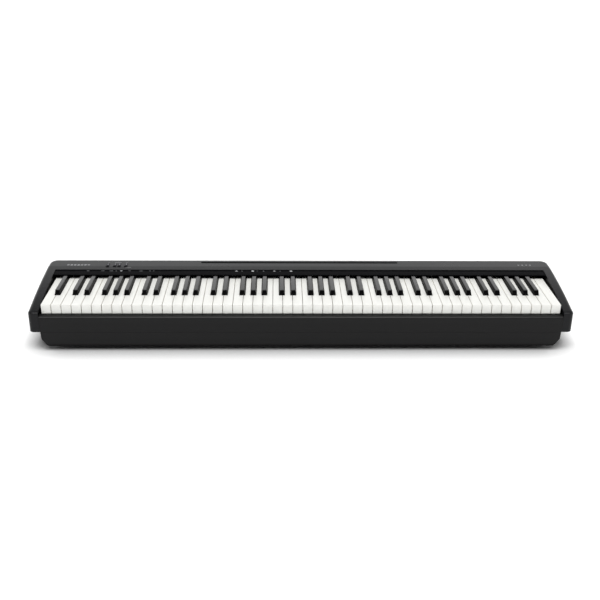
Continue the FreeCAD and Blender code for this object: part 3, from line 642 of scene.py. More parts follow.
# The white keys are painted lighter towards their rear: painted light.
WHITE_KEY = KeyPlastic("white_key_plastic", (0.73, 0.73, 0.70), 0.36, gloss=0.3, tail_painted_light=1.22)
# The black keys' sides and fronts keep almost no gloss: painted shade.
BLACK_KEY = KeyPlastic("black_key_plastic", (0.003, 0.003, 0.0033), 0.26, streaks=0.3, depth=0.00003,
                       gloss=0.5, edge_tint=(0.9, 0.9, 0.9), side_shade_tint=(1.0, 1.0, 1.0), side_shade_gloss=0.03)
FRAME_STEEL = BareMetal("frame_steel", (0.55, 0.56, 0.58), 0.42)
SHAFT_STEEL = BareMetal("shaft_steel", (0.60, 0.60, 0.62), 0.3)
PORT_METAL = BareMetal("port_metal", (0.58, 0.58, 0.60), 0.34, lines=(1.0, 0.05, 1.0))
SCREW_STEEL = BareMetal("screw_steel", (0.08, 0.08, 0.085), 0.42, lines=(1.0, 1.0, 0.1))
INSERT_BRASS = BareMetal("insert_brass", (0.72, 0.52, 0.22), 0.32, lines=(1.0, 1.0, 0.1))
BASKET_STEEL = MouldedPlastic("basket_paint", (0.02, 0.02, 0.021), 0.4, grain=500.0, dust=0.0)
CONE_PAPER = Rubber("cone_paper", (0.035, 0.034, 0.032), 0.85)
MAGNET_IRON = MouldedPlastic("magnet_ferrite", (0.05, 0.05, 0.052), 0.6, grain=400.0, dust=0.0)
FELT_RED = Felt("red_felt", (0.30, 0.02, 0.02), 0.95)
DOME_RUBBER = Rubber("dome_rubber", (0.10, 0.10, 0.11), 0.7)
FOOT_RUBBER = Rubber("foot_rubber", (0.018, 0.018, 0.018), 0.75)
BOARD_GREEN = CircuitBoard("circuit_board", (0.012, 0.12, 0.045), 0.35)
CABLE_GREY = MouldedPlastic("flat_cable", (0.30, 0.31, 0.34), 0.45, grain=300.0, dust=0.0)
INK_PALE = Printed("pale_ink", (0.13, 0.133, 0.14), 0.5)
INK_BRIGHT = Printed("bright_ink", (0.42, 0.43, 0.44), 0.5)
INK_DECK = Printed("deck_ink", (0.22, 0.222, 0.228), 0.5)
INK_DARK = Printed("dark_ink", (0.006, 0.006, 0.007), 0.6, gloss=0.02)
FLOOR = Ground("studio_floor", (0.93, 0.93, 0.93), 0.9)


def settle(piece: bpy.types.Object, finish: Finish, body: str = BODY,
           stands_for: Sequence[str] = ()) -> bpy.types.Object:
    """Gives a finished piece its material and its place in the piano.

    Args:
        piece: the piece, at the origin.
        finish: its surface finish.
        body: the body that it moves with.
        stands_for: the CAD nodes that it replaces.

    Returns:
        The same piece.
    """
    piece.data.materials.clear()
    piece.data.materials.append(finish.material())
    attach(piece, body)
    if stands_for:
        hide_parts(*stands_for)
    log.info("%s: %d faces on %s", piece.name, len(piece.data.polygons), body)
    return piece


# ------------------------------------------------------------------ casing


@dataclass
class UpperCase:
    """The deck and the two arms beside the keys, with the slot and the button openings."""

    wall: float = 3.0 * MM
    crown_radius: float = 1530.0 * MM
    slope_start: float = 90.0 * MM
    nose_height: float = 99.5 * MM
    rear_corner: float = 20.0 * MM
    front_corner: float = 12.0 * MM
    side_round: float = 9.0 * MM
    front_round: float = 4.0 * MM
    arm_inner: float = 617.0 * MM
    deck_front: float = 64.5 * MM
    lip: float = 1.7 * MM
    deck_level: float = 131.4 * MM
    foot_round: float = 4.0 * MM
    round_blend: float = 14.0 * MM
    round_steps: int = 8
    first_slice: float = -124.0 * MM
    slice_spacing: float = 6.0 * MM
    edge_softness: float = 0.7 * MM
    space_setback: float = 4.0 * MM
    slot: Outline = ((4.0 * MM, 103.5 * MM), (-4.0 * MM, 111.5 * MM))
    slot_round: float = 3.9 * MM
    cut_levels: tuple[float, float] = (120.0 * MM, 140.0 * MM)
    button_clearance: float = 0.7 * MM
    button_round: float = 4.1 * MM

    def underside(self) -> float:
        """The height of the arms' flat underside."""
        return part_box("front_rail")[0].z

    def top(self, y: float) -> float:
        """The height of the top surface: flat at the back, then a wide arc down to the front."""
        if y >= self.slope_start:
            return self.deck_level
        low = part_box("upper_case")[0]
        start = Vector((self.slope_start, self.deck_level))
        end = Vector((low.y, self.nose_height))
        chord = end - start
        square = Vector((chord.y, -chord.x)).normalized()
        rise = math.sqrt(self.crown_radius ** 2 - (chord.length / 2) ** 2)
        centre = (start + end) / 2 + square * rise * (1 if square.y < 0 else -1)
        return centre.y + math.sqrt(self.crown_radius ** 2 - (y - centre.x) ** 2)

    def rounding(self, depth: float, y: float) -> float:
        """How far the surface falls at a distance in from the outline."""
        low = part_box("upper_case")[0]
        share = min(1.0, max(0.0, (y - low.y) / self.round_blend))
        radius = self.front_round + (self.side_round - self.front_round) * share
        if depth >= radius:
            return 0.0
        return radius - math.sqrt(radius ** 2 - (radius - depth) ** 2)

    def shell(self) -> bpy.types.Object:
        """The solid outside shape, rounded all round its top."""
        low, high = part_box("upper_case")
        underside = self.underside()
        model = Model()
        bm = model.bm
        depth = bm.verts.layers.float.new("depth")
        bmesh.ops.create_grid(bm, x_segments=1, y_segments=1, size=1.0)
        for vert in bm.verts:
            vert.co = Vector((low.x if vert.co.x < 0 else high.x, low.y if vert.co.y < 0 else high.y, 0.0))
        for y, radius in ((low.y, self.front_corner), (high.y, self.rear_corner)):
            ends = [vert for vert in bm.verts if abs(vert.co.y - y) < TINY]
            bmesh.ops.bevel(bm, geom=ends, offset=radius, offset_type="OFFSET", segments=10, profile=0.5,
                            affect="VERTICES", clamp_overlap=False, material=-1)
        reached = 0.0
        for step in range(1, self.round_steps + 1):
            target = self.side_round * (1 - math.cos(math.radians(90 * step / self.round_steps)))
            inner = min(bm.faces, key=lambda face: face.calc_center_median().length)
            bmesh.ops.inset_region(bm, faces=[inner], thickness=target - reached,
                                   use_boundary=True, use_even_offset=True)
            for vert in inner.verts:
                vert[depth] = target
            reached = target
        slices = math.ceil((self.slope_start - self.first_slice) / self.slice_spacing)
        model.slice_across(Axis.Y, [self.first_slice + step * self.slice_spacing for step in range(slices)])
        for vert in bm.verts:
            vert.co.z = self.top(vert.co.y) - self.rounding(vert[depth], vert.co.y)
        rim = [edge for edge in bm.edges if len(edge.link_faces) == 1]
        grown = bmesh.ops.extrude_edge_only(bm, edges=rim)["geom"]
        for vert in (g for g in grown if isinstance(g, Vert)):
            vert.co.z = underside
        bottom = [edge for edge in bm.edges if len(edge.link_faces) == 1]
        bmesh.ops.contextual_create(bm, geom=bottom)
        bmesh.ops.recalc_face_normals(bm, faces=bm.faces)
        model.round_over(model.edges_where(lambda a, b: max(a.z, b.z) < underside + TINY), self.foot_round, 5)
        return model.to_object("upper_case_shell")

    def key_space(self) -> Model:
        """The space for the keys, between the arms and in front of the deck."""
        low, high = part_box("upper_case")
        cutter = Model()
        cutter.block(Vector((-self.arm_inner, 2 * low.y, 0.0)),
                     Vector((self.arm_inner, self.deck_front, 2 * high.z)))
        return cutter

    def under_deck(self) -> Model:
        """The space under the deck."""
        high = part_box("upper_case")[1]
        under = self.deck_level - self.wall
        front = self.deck_front - self.space_setback
        cutter = Model()
        cutter.prism([(front, 0.0), (high.y - self.wall, 0.0), (high.y - self.wall, under),
                      (self.slope_start, under), (front, self.top(self.deck_front) - self.lip)],
                     Axis.X, -self.arm_inner, self.arm_inner)
        return cutter

    def deck_holes(self) -> Model:
        """The music-rest slot and the four button openings, with rounded ends."""
        cutter = Model()
        trough_low, trough_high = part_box("music_rest_channel")
        (inset_left, slot_front), (inset_right, slot_back) = self.slot
        holes = [((trough_low.x + inset_left, slot_front), (trough_high.x + inset_right, slot_back),
                  self.slot_round)]
        for name in ControlPanel.BUTTONS:
            low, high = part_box(name)
            edge = self.button_clearance
            holes.append(((low.x + edge, low.y + edge), (high.x - edge, high.y - edge), self.button_round))
        floor, roof = self.cut_levels
        for low, high, radius in holes:
            known = set(cutter.bm.edges)
            cutter.block(Vector((*low, floor)), Vector((*high, roof)))
            cutter.round_over(cutter.new_uprights(known), radius, 8)
        return cutter

    def build(self) -> None:
        """Makes the shell and dresses it."""
        piece = self.shell()
        carve(piece, self.key_space())
        carve(piece, self.under_deck())
        carve(piece, self.deck_holes())
        soften(piece, self.edge_softness)
        even_shading(piece)
        settle(piece, CASE_PLASTIC, stands_for=["upper_case"])


@dataclass
class Tray:
    """The chamfered tray underneath, with its sound slots and the openings for the sockets."""

    wall: float = 3.0 * MM
    chamfer_level: float = 32.0 * MM
    chamfer_inset: float = 16.0 * MM
    front_round: float = 10.0 * MM
    side_draft: float = 0.6 * MM
    corner_round: float = 1.4 * MM
    edge_softness: float = 0.5 * MM
    speaker_inset: float = 52.0 * MM
    slot_rows: int = 9
    slot_pitch: float = 8.0 * MM
    slot_half_width: float = 2.2 * MM
    slot_round: float = 2.1 * MM
    slot_reach: float = 34.0 * MM
    slot_taper: float = 1.3 * MM
    insert_inset: float = 5.0 * MM
    insert_hole: float = 5.05 * MM
    insert_cut: float = 12.0 * MM
    cut_reach: float = 5.0 * MM
    panel_gap: float = 0.15 * MM

    @property
    def bottom(self) -> float:
        """The height of the tray's underside."""
        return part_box("lower_case")[0].z

    @property
    def top(self) -> float:
        """The height of the tray's rim."""
        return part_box("socket_panel")[1].z

    def section(self, inset: float) -> Outline:
        """The tray's outline from the front, moved in by a wall."""
        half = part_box("lower_case")[1].x - inset
        rise = inset * 0.4
        floor = self.bottom + inset
        slope = self.chamfer_inset - inset * 0.5
        top = self.top + (10 * MM if inset else 0.0)
        waist = half - self.side_draft
        level = self.chamfer_level + rise
        return [(-half, top), (-waist, level), (-half + slope, floor), (half - slope, floor), (waist, level),
                (half, top)]

    def build(self) -> None:
        """Makes the tray and dresses it."""
        low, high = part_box("lower_case")
        model = Model()
        model.prism(self.section(0.0), Axis.Y, low.y, high.y)
        model.round_over(model.edges_where(
            lambda a, b: max(a.y, b.y) < low.y + TINY and max(a.z, b.z) < self.bottom + MM),
            self.front_round, 8)
        model.round_over(model.edges_where(
            lambda a, b: abs(a.y - b.y) > high.y and abs(a.x) > high.x / 2 and a.z < self.top - MM),
            self.corner_round)
        piece = model.to_object("tray_shell")
        hollow = Model()
        hollow.prism(self.section(self.wall), Axis.Y, low.y + self.wall, high.y - self.wall)
        carve(piece, hollow)
        carve(piece, self.holes())
        soften(piece, self.edge_softness)
        even_shading(piece)
        settle(piece, TRAY_PLASTIC, stands_for=["lower_case"])

    def holes(self) -> Model:
        """The sound slots, the holes for the stand inserts and the gap for the socket panel."""
        cutter = Model()
        floor_low = self.bottom - self.cut_reach
        floor_high = self.bottom + self.wall + MM
        low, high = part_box("speaker_frames")
        for x in (low.x + self.speaker_inset, high.x - self.speaker_inset):
            for row in range(self.slot_rows):
                step = row - self.slot_rows // 2
                reach = self.slot_reach - self.slot_taper * step * step
                y = step * self.slot_pitch
                known = set(cutter.bm.edges)
                cutter.block(Vector((x - reach, y - self.slot_half_width, floor_low)),
                             Vector((x + reach, y + self.slot_half_width, floor_high)))
                cutter.round_over(cutter.new_uprights(known), self.slot_round, 4)
        low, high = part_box("stand_inserts")
        for x in (low.x + self.insert_inset, high.x - self.insert_inset):
            for y in (low.y + self.insert_inset, high.y - self.insert_inset):
                cutter.disc(Vector((x, y, floor_low)), self.insert_hole, self.insert_cut, 32)
        low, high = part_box("socket_panel")
        margin = Vector((self.panel_gap, 2 * self.wall, self.panel_gap))
        cutter.block(low - margin, Vector((high.x, high.y, 2 * high.z)) + margin)
        return cutter


@dataclass
class FrontRail:
    """The slip in front of the keys: a tall face with a lip that curves back."""

    wall: float = 3.0 * MM
    nose: float = 85.0 * MM
    crest: float = 91.0 * MM
    lip_front: float = 2.6 * MM
    lip_back: float = 3.2 * MM
    lip_round: float = 0.6 * MM

    def build(self) -> None:
        """Makes the rail and dresses it."""
        low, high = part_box("front_rail")
        front, back, bottom = low.y, high.y, low.z
        arc = [(front + (back - front) * (1 - math.cos(math.radians(a))),
                self.nose + (self.crest - self.nose) * math.sin(math.radians(a)))
               for a in range(8, 88, 8)]
        outline = [(front, bottom), (front + self.wall, bottom),
                   (front + self.wall, self.nose - self.lip_front), (back, self.crest - self.lip_back),
                   (back, self.crest)] + arc[::-1] + [(front, self.nose)]
        model = Model()
        model.prism(outline, Axis.X, low.x, high.x)
        model.round_over(model.edges_where(
            lambda a, b: abs(a.x - b.x) > high.x and a.y > back - TINY and a.z > self.crest - TINY),
            self.lip_round)
        piece = model.to_object("front_rail_slip", sharp=28.0)
        even_shading(piece)
        settle(piece, RAIL_PLASTIC, stands_for=["front_rail"])


class Symbol(Enum):
    """The plain printed shapes."""

    BAR = "bar"
    DOT = "dot"
    TRIANGLE = "triangle"
    SQUARE = "square"


def print_symbol(model: Model, kind: Symbol, centre: Vector, width: float, height: float,
                 slope: float = 0.0) -> None:
    """Adds a printed shape that lies on a surface.

    Args:
        model: the mesh that takes it.
        kind: which shape.
        centre: the middle of the shape, on the surface.
        width: its size along X.
        height: its size along Y.
        slope: the surface's rise for each metre back.
    """
    thick = 0.06 * MM
    if kind is Symbol.BAR or kind is Symbol.SQUARE:
        made = model.block(Vector((-width / 2, -height / 2, -thick)), Vector((width / 2, height / 2, thick)))
    else:
        steps = 3 if kind is Symbol.TRIANGLE else 16
        made = bmesh.ops.create_cone(model.bm, cap_ends=True, segments=steps, radius1=0.5, radius2=0.5,
                                     depth=thick * 2)["verts"]
        bmesh.ops.scale(model.bm, vec=(width, height, 1.0), verts=made)
    turn = Matrix.Rotation(math.atan(slope), 4, "X")
    bmesh.ops.transform(model.bm, matrix=Matrix.Translation(centre) @ turn, verts=made)


@dataclass
class FallboardStrip:
    """The thin black strip under the deck's front edge, and the symbols printed on it."""

    lip_top: float = 126.0 * MM
    lip_round: float = 0.7 * MM
    slope_end: float = 64.5 * MM
    wall: float = 1.6 * MM
    symbol_line: float = 61.0 * MM

    def build(self) -> None:
        """Makes the strip and its symbols."""
        low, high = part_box("fallboard_strip")
        model = Model()
        model.prism([(low.y, self.lip_top - self.wall), (high.y, high.z - self.wall), (high.y, high.z),
                     (self.slope_end, high.z), (low.y, self.lip_top)], Axis.X, low.x, high.x)
        model.round_over(model.edges_where(
            lambda a, b: abs(a.x - b.x) > high.x and a.y < low.y + TINY), self.lip_round, 4)
        settle(model.to_object("fallboard"), STRIP_PLASTIC, stands_for=["fallboard_strip"])
        slope = (high.z - self.lip_top) / (self.slope_end - low.y)
        level = self.lip_top + slope * (self.symbol_line - low.y)
        inks = {"strip_symbols_pale": INK_PALE, "strip_symbol_bright": INK_BRIGHT}
        prints = {ink: Model() for ink in inks.values()}
        for x, kind, width, height, ink in self.symbols():
            centre = Vector((x * MM, self.symbol_line, level))
            print_symbol(prints[ink], kind, centre, width * MM, height * MM, slope)
        for name, ink in inks.items():
            settle(prints[ink].to_object(name), ink)

    def symbols(self) -> list[tuple[float, Symbol, float, float, Finish]]:
        """The row of symbols: each one's place along X, shape, width, height (all in millimetres) and ink."""
        return [(-535, Symbol.BAR, 6.5, 3.0, INK_PALE), (-498, Symbol.BAR, 7.5, 2.0, INK_PALE),
                (-477, Symbol.BAR, 9.0, 2.2, INK_PALE), (-464.5, Symbol.DOT, 4.0, 2.6, INK_PALE),
                (-452, Symbol.BAR, 5.0, 4.0, INK_BRIGHT), (-431.5, Symbol.BAR, 5.5, 2.0, INK_PALE),
                (-402.5, Symbol.BAR, 7.5, 2.2, INK_PALE), (-380, Symbol.DOT, 4.5, 3.0, INK_PALE),
                (-371, Symbol.SQUARE, 3.0, 3.0, INK_PALE), (-163, Symbol.TRIANGLE, 8.0, 8.0, INK_BRIGHT),
                (-149, Symbol.BAR, 2.2, 4.4, INK_PALE), (-122, Symbol.SQUARE, 6.0, 6.5, INK_BRIGHT),
                (-111, Symbol.BAR, 3.0, 2.0, INK_PALE), (-95, Symbol.DOT, 4.0, 4.0, INK_PALE),
                (-67.5, Symbol.TRIANGLE, 8.0, 6.5, INK_BRIGHT), (-53, Symbol.DOT, 3.0, 3.0, INK_PALE),
                (-25.5, Symbol.SQUARE, 6.0, 6.0, INK_BRIGHT)]


@dataclass
class ControlPanel:
    """The four push buttons in the deck with their printed marks, and the marks on the deck."""

    BUTTONS = ("power_button", "volume_down_button", "volume_up_button", "function_button")
    deck_level: float = 131.4 * MM
    sunk: float = 0.08 * MM
    margin: float = 1.0 * MM
    cap_height: float = 4.5 * MM
    cap_corner: float = 3.6 * MM
    cap_inset: float = 0.5 * MM
    cap_round: float = 0.4 * MM
    flange_level: float = 5.3 * MM
    flange: float = 1.2 * MM
    stem_radius: float = 2.0 * MM
    stem_height: float = 5.4 * MM
    field_depth: float = 6.0 * MM
    field_offset: float = 3.6 * MM
    front_line: float = 76.0 * MM

    def button(self, name: str) -> None:
        """Makes one button with a rounded, slightly dished cap."""
        low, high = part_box(name)
        high.z -= self.sunk
        middle = (low + high) / 2
        edge = Vector((self.margin, self.margin, 0.0))
        model = Model()
        model.block(Vector((low.x, low.y, high.z - self.cap_height)) + edge, high - edge)
        model.round_over(model.edges_where(lambda a, b: abs(a.z - b.z) > MM), self.cap_corner, 8)
        top = [face for face in model.bm.faces if face.normal.z > 0.9]
        bmesh.ops.inset_region(model.bm, faces=top, thickness=self.cap_inset, use_even_offset=True)
        rim = model.edges_where(lambda a, b: min(a.z, b.z) > high.z - TINY)
        model.round_over([e for e in rim if any(abs(face.normal.z) < 0.5 for face in e.link_faces)],
                         self.cap_round)
        flange_low = high.z - self.flange_level
        model.block(Vector((low.x, low.y, flange_low)), Vector((high.x, high.y, flange_low + self.flange)))
        model.disc(Vector((middle.x, middle.y, low.z)), self.stem_radius, self.stem_height)
        settle(model.to_object(name + "_cap"), BUTTON_PLASTIC, body=name, stands_for=[name])
        mark = Model()
        print_symbol(mark, Symbol.BAR, Vector((middle.x, middle.y, high.z)), 1.5 * MM, 8.0 * MM)
        settle(mark.to_object(name + "_mark"), INK_DECK, body=name)

    def deck_symbols(self) -> list[tuple[float, float, Symbol, float, float]]:
        """The deck's marks: the place along X and Y, the shape, its width and its depth, in millimetres."""
        marks = [(-466.5, 107, Symbol.BAR, 17, 1.8), (-444, 107, Symbol.BAR, 6, 1.2),
                 (-490, 107, Symbol.BAR, 5, 1.2), (-437, self.front_line / MM, Symbol.BAR, 14, 1.8)]
        dashes = enumerate((7, 9, 8, 9, 7, 8, 6))
        marks += [(-590 + step * 8.6, 90, Symbol.BAR, 5.6, depth) for step, depth in dashes]
        return marks + [(560 + step * 10, 93, Symbol.DOT, 5, 6) for step in range(4)]

    def marks(self) -> None:
        """Prints the plain marks on the deck and a dark field in front of each button."""
        model = Model()
        surface = UpperCase()
        for x, y, kind, width, depth in self.deck_symbols():
            print_symbol(model, kind, Vector((x * MM, y * MM, surface.top(y * MM))), width * MM, depth * MM)
        settle(model.to_object("deck_marks"), INK_DECK)
        fields = Model()
        for name in self.BUTTONS:
            low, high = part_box(name)
            place = Vector(((low.x + high.x) / 2, low.y - self.field_offset, self.deck_level))
            print_symbol(fields, Symbol.BAR, place, high.x - low.x - 2 * self.margin, self.field_depth)
        settle(fields.to_object("deck_button_fields"), INK_DARK)

    def build(self) -> None:
        """Makes the buttons and prints the marks."""
        for name in self.BUTTONS:
            self.button(name)
        self.marks()


# ------------------------------------------------------------------ keys


class Note(Enum):
    """The white notes; each value is the shift of the black key to its right, None where there is none."""

    C = ("c", -2.0)
    D = ("d", 2.0)
    E = ("e", None)
    F = ("f", -2.95)
    G = ("g", 0.0)
    A = ("a", 2.95)
    B = ("b", None)

    @property
    def shift(self) -> float | None:
        """How far the black key to the right stands from the joint between the white keys, in metres."""
        amount = self.value[1]
        return None if amount is None else amount * MM


@dataclass
class Keyboard:
    """All 88 keys. The two middle octaves are single pieces and the others are in four sets."""

    count: int = 52
    gap: float = 1.0 * MM
    level: float = 114.0 * MM
    front: float = -115.0 * MM
    reach: float = 163.0 * MM
    depth: float = 14.0 * MM
    lip_depth: float = 22.0 * MM
    lip_wall: float = 3.0 * MM
    black_width: float = 12.6 * MM
    black_top_width: float = 10.2 * MM
    side_gap: float = 1.0 * MM
    black_start: float = 56.5 * MM
    black_crest: float = 62.0 * MM
    black_height: float = 11.6 * MM
    black_rear: float = 9.8 * MM
    notch_gap: float = 1.2 * MM
    first_middle: int = 16
    first_treble: int = 30
    white_corner: float = 0.9 * MM
    white_edge: float = 0.45 * MM
    black_edge: float = 1.3 * MM
    black_corner: float = 0.9 * MM
    black_foot: float = 1.0 * MM
    stem_half: float = 4.0 * MM
    stem_start: float = 35.0 * MM
    stem_bend: float = 52.0 * MM
    stem_end: float = 114.0 * MM
    stem_drop: float = 4.0 * MM
    shaft_fit: float = 0.1 * MM

    def note(self, number: int) -> tuple[Note, int]:
        """The note and octave of a white key, counted from the lowest one."""
        return list(Note)[(number + 5) % 7], (number + 5) // 7

    def pitch(self) -> float:
        """The distance between white keys."""
        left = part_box("white_keys_bass")[0].x
        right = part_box("white_keys_treble")[1].x
        return (right - left + self.gap) / self.count

    def centre(self, number: float) -> float:
        """The middle of a white key along X."""
        return (number - (self.count - 1) / 2) * self.pitch()

    def stem(self, model: Model, x: float) -> None:
        """Adds the narrow tail of a key, hooked over the pivot shaft from above."""
        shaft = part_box("key_pivot_shaft")
        y = (shaft[0].y + shaft[1].y) / 2
        z = (shaft[0].z + shaft[1].z) / 2
        radius = (shaft[1].z - shaft[0].z) / 2 + self.shaft_fit
        low = self.level - self.lip_depth
        hook = [(y - radius * math.cos(math.radians(a)), z + radius * math.sin(math.radians(a)))
                for a in range(0, 181, 20)]
        top = self.level - self.stem_drop
        outline = [(self.stem_start, self.level - self.depth + MM / 2), (self.stem_bend, low),
                   (y - radius, low)]
        outline += hook
        outline += [(y + radius, low), (self.stem_end, low), (self.stem_end, top), (self.stem_start, top)]
        model.prism(outline, Axis.X, x - self.stem_half, x + self.stem_half)

    def add_white(self, model: Model, number: int) -> None:
        """Adds one white key to a mesh."""
        pitch = self.pitch()
        x = self.centre(number)
        half = (pitch - self.gap) / 2
        slot = self.black_width / 2 + self.side_gap
        left = self.note(number - 1)[0].shift if number > 0 else None
        right = self.note(number)[0].shift if number < self.count - 1 else None
        tail_left = x - half if left is None else x - pitch / 2 + left + slot
        tail_right = x + half if right is None else x + pitch / 2 + right - slot
        shoulder = self.front + self.black_start - self.notch_gap
        end = self.front + self.reach
        outline = [(x - half, self.front), (x + half, self.front)]
        if right is not None:
            outline += [(x + half, shoulder), (tail_right, shoulder)]
        outline += [(tail_right, end), (tail_left, end)]
        if left is not None:
            outline += [(tail_left, shoulder), (x - half, shoulder)]
        single = Model()
        single.prism(outline, Axis.Z, self.level - self.depth, self.level)
        single.slice_across(Axis.Y, [self.front + self.lip_wall])
        under = [f for f in single.bm.faces if f.normal.z < -0.9
                 and f.calc_center_median().y < self.front + self.lip_wall]
        grown = bmesh.ops.extrude_face_region(single.bm, geom=under)["geom"]
        bmesh.ops.translate(single.bm, verts=[g for g in grown if isinstance(g, Vert)],
                            vec=(0, 0, self.depth - self.lip_depth))
        bmesh.ops.delete(single.bm, geom=[f for f in under if f.is_valid], context="FACES_ONLY")
        corners = single.edges_where(
            lambda a, b: abs(a.z - b.z) > 5 * MM and max(a.y, b.y) < self.front + TINY)
        single.round_over(corners, self.white_corner)
        rim = single.edges_where(lambda a, b: min(a.z, b.z) > self.level - TINY)
        rim = [edge for edge in rim if any(abs(face.normal.z) < 0.5 for face in edge.link_faces)]
        single.round_over(rim, self.white_edge)
        self.stem(single, (tail_left + tail_right) / 2)
        self.merge(model, single)

    def add_black(self, model: Model, number: int) -> None:
        """Adds the black key to the right of a white key."""
        shift = self.note(number)[0].shift or 0.0
        x = self.centre(number) + self.pitch() / 2 + shift
        start = self.front + self.black_start
        crest = self.front + self.black_crest
        end = self.front + self.reach
        single = Model()
        base = self.level - self.black_foot
        single.prism([(start, self.level - self.depth), (end, self.level - self.depth),
                      (end, self.level + self.black_rear), (crest, self.level + self.black_height),
                      (start, base)], Axis.X, x - self.black_width / 2, x + self.black_width / 2)
        single.slice_across(Axis.Z, [base])
        share = self.black_top_width / self.black_width
        shoulder = self.level + 2 * MM
        for vert in single.bm.verts:
            if vert.co.z > shoulder:
                vert.co.x = x + (vert.co.x - x) * share
        single.round_over(single.edges_where(
            lambda a, b: min(a.z, b.z) > shoulder and a.y + b.y < 2 * end - TINY), self.black_edge, 4)
        front_edges = single.edges_where(
            lambda a, b: max(a.y, b.y) < crest + 2 * MM and abs(a.z - b.z) > 2 * MM)
        single.round_over([e for e in front_edges if e.calc_face_angle(0.0) > 0.9], self.black_corner)
        self.stem(single, x)
        self.merge(model, single)

    @staticmethod
    def merge(model: Model, single: Model) -> None:
        """Adds a finished key's mesh to another mesh."""
        keep = bpy.data.meshes.new("key_part")
        single.bm.to_mesh(keep)
        single.bm.free()
        model.bm.from_mesh(keep)
        bpy.data.meshes.remove(keep)

    def build(self) -> None:
        """Makes every key and dresses it."""
        sets = {name: Model() for name in
                ("white_keys_bass", "white_keys_treble", "black_keys_bass", "black_keys_treble")}
        for number in range(self.count):
            note, octave = self.note(number)
            side = "bass" if number < self.first_middle else "treble"
            single = self.first_middle <= number < self.first_treble
            white = Model() if single else sets["white_keys_" + side]
            self.add_white(white, number)
            if single:
                name = f"key_{note.value[0]}{octave}"
                settle(white.to_object(name + "_cover"), WHITE_KEY, name, [name])
            if note.shift is None or number == self.count - 1:
                continue
            black = Model() if single else sets["black_keys_" + side]
            self.add_black(black, number)
            if single:
                name = f"key_{note.value[0]}_sharp{octave}"
                settle(black.to_object(name + "_cover"), BLACK_KEY, name, [name])
        for name, model in sets.items():
            white = name.startswith("white")
            settle(model.to_object(name + "_covers"), WHITE_KEY if white else BLACK_KEY,
                   name, [name])


# ------------------------------------------------------------------ underside, back and inside


@dataclass
class Feet:
    """Four rubber feet with a rounded tread and a dished middle."""

    radius: float = 12.0 * MM
    taper: float = 1.2 * MM
    tread_width: float = 2.5 * MM
    dish_width: float = 1.5 * MM
    dish_depth: float = 1.2 * MM
    edge_round: float = 0.6 * MM

    def build(self) -> None:
        """Makes the feet and dresses them."""
        low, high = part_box("rubber_feet")
        model = Model()
        for x in (low.x + self.radius, high.x - self.radius):
            for y in (low.y + self.radius, high.y - self.radius):
                known = set(model.bm.faces)
                model.disc(Vector((x, y, low.z)), self.radius - self.taper, high.z - low.z, 40, self.radius)
                tread = [f for f in model.bm.faces if f not in known and f.normal.z < -0.9]
                for width in (self.tread_width, self.dish_width):
                    bmesh.ops.inset_region(model.bm, faces=tread, thickness=width, use_even_offset=True)
                bmesh.ops.translate(model.bm, verts=list(tread[0].verts), vec=(0, 0, self.dish_depth))
        rims = [e for e in model.bm.edges if e.calc_face_angle(0.0) > 0.7
                and max(v.co.z for v in e.verts) < high.z - MM]
        model.round_over(rims, self.edge_round)
        settle(model.to_object("rubber_foot_set"), FOOT_RUBBER, stands_for=["rubber_feet"])


CARRIED_OVER: dict[str, Finish] = {
    "music_rest_channel": INNER_PLASTIC, "keybed_frame": FRAME_STEEL, "key_pivot_shaft": SHAFT_STEEL,
    "key_stop_felt": FELT_RED, "key_rest_felt": FELT_RED, "contact_board": BOARD_GREEN,
    "contact_domes": DOME_RUBBER, "main_board": BOARD_GREEN, "jack_board": BOARD_GREEN,
    "button_board": BOARD_GREEN, "dc_in_jack": SOCKET_PLASTIC, "usb_computer_port": PORT_METAL,
    "usb_memory_port": PORT_METAL, "pedal_jack": SOCKET_PLASTIC, "phones_jack": SOCKET_PLASTIC,
    "flat_cables": CABLE_GREY, "socket_panel": TRAY_PLASTIC, "speaker_frames": BASKET_STEEL,
    "speaker_cones": CONE_PAPER, "speaker_magnets": MAGNET_IRON, "stand_inserts": INSERT_BRASS,
    "case_screws": SCREW_STEEL, "board_screws": SCREW_STEEL,
}


def dress_carried_over() -> None:
    """Gives the CAD nodes that keep their shape their finishes."""
    for name, finish in CARRIED_OVER.items():
        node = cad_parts[name]
        node.data.materials.clear()
        node.data.materials.append(finish.material())
        log.info("%s keeps its shape", name)


# ------------------------------------------------------------------ studio


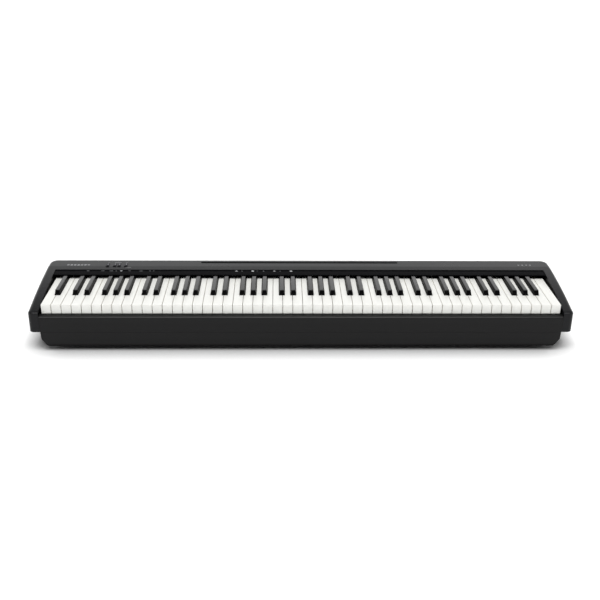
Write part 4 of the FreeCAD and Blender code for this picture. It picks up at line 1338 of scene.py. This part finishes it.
@dataclass
class Studio:
    """The floor, the lights and the camera."""

    camera_place: tuple[float, float, float] = (-0.0595, -1.9753, 0.9686)
    pitch: float = 24.34
    yaw: float = 1.62
    roll: float = 0.70
    lens: float = 52.32
    sun_strength: float = 3.4
    sun_tilt: float = 25.0
    sun_spread: float = 46.0
    back_sky: float = 1.25
    high_sky: float = 0.12
    front_sky: float = 0.03

    def camera(self) -> None:
        """Places the camera in front of the keys, looking down at them."""
        pitch, yaw, roll = (math.radians(a) for a in (self.pitch, self.yaw, self.roll))
        ahead = Vector((math.sin(yaw) * math.cos(pitch), math.cos(yaw) * math.cos(pitch), -math.sin(pitch)))
        side = Vector((math.cos(yaw), -math.sin(yaw), 0.0))
        up = side.cross(ahead)
        right = side * math.cos(roll) + up * math.sin(roll)
        top = up * math.cos(roll) - side * math.sin(roll)
        turn = Matrix((right, top, -ahead)).transposed().to_4x4()
        camera = bpy.data.objects.new("camera", bpy.data.cameras.new("camera"))
        camera.data.lens = self.lens
        camera.data.sensor_width = 36.0
        camera.matrix_world = Matrix.Translation(Vector(self.camera_place)) @ turn
        bpy.context.scene.collection.objects.link(camera)
        bpy.context.scene.camera = camera

    def floor(self) -> None:
        """Lays a wide pale floor."""
        model = Model()
        bmesh.ops.create_grid(model.bm, x_segments=2, y_segments=2, size=14.0)
        piece = model.to_object("studio_ground")
        piece.data.materials.append(FLOOR.material())

    def sky(self) -> None:
        """Surrounds the piano with light from above and behind, and a dim room behind the camera."""
        world = bpy.data.worlds.new("studio_world")
        world.use_nodes = True
        sheet = Sheet(world.node_tree)
        direction = sheet.add("ShaderNodeTexCoord").outputs["Generated"]
        height = sheet.part(direction, "Z")
        behind_camera = sheet.ramp(sheet.part(direction, "Y"), -0.05, -0.45)
        below_top = sheet.ramp(height, 0.85, 0.66)
        above_floor = sheet.ramp(height, 0.10, 0.28)
        dim = sheet.math("MULTIPLY", behind_camera, sheet.math("MULTIPLY", below_top, above_floor))
        high_up = sheet.ramp(height, 0.60, 0.75)
        around = sheet.math("ADD", self.back_sky,
                            sheet.math("MULTIPLY", high_up, self.high_sky - self.back_sky))
        strength = sheet.math("ADD", around,
                              sheet.math("MULTIPLY", dim, self.front_sky - self.back_sky))
        background = world.node_tree.nodes["Background"]
        background.inputs["Color"].default_value = (1.0, 1.0, 1.0, 1.0)
        sheet.put(background.inputs["Strength"], strength)
        bpy.context.scene.world = world

    def sun(self) -> None:
        """Hangs the broad overhead light."""
        lamp = bpy.data.lights.new("overhead", "SUN")
        lamp.energy = self.sun_strength
        lamp.angle = math.radians(self.sun_spread)
        holder = bpy.data.objects.new("overhead", lamp)
        holder.rotation_euler = (math.radians(self.sun_tilt), 0.0, 0.0)
        bpy.context.scene.collection.objects.link(holder)

    def build(self) -> None:
        """Sets up the whole studio."""
        self.camera()
        self.floor()
        self.sky()
        self.sun()
        bpy.context.scene.view_settings.view_transform = "Standard"


def main() -> None:
    """Builds the studio and the piano, sub-assembly by sub-assembly."""
    logging.basicConfig(level=logging.INFO, format="%(message)s")
    Studio().build()
    UpperCase().build()
    Tray().build()
    FrontRail().build()
    FallboardStrip().build()
    ControlPanel().build()
    Keyboard().build()
    Feet().build()
    dress_carried_over()


if __name__ == "__main__":
    main()
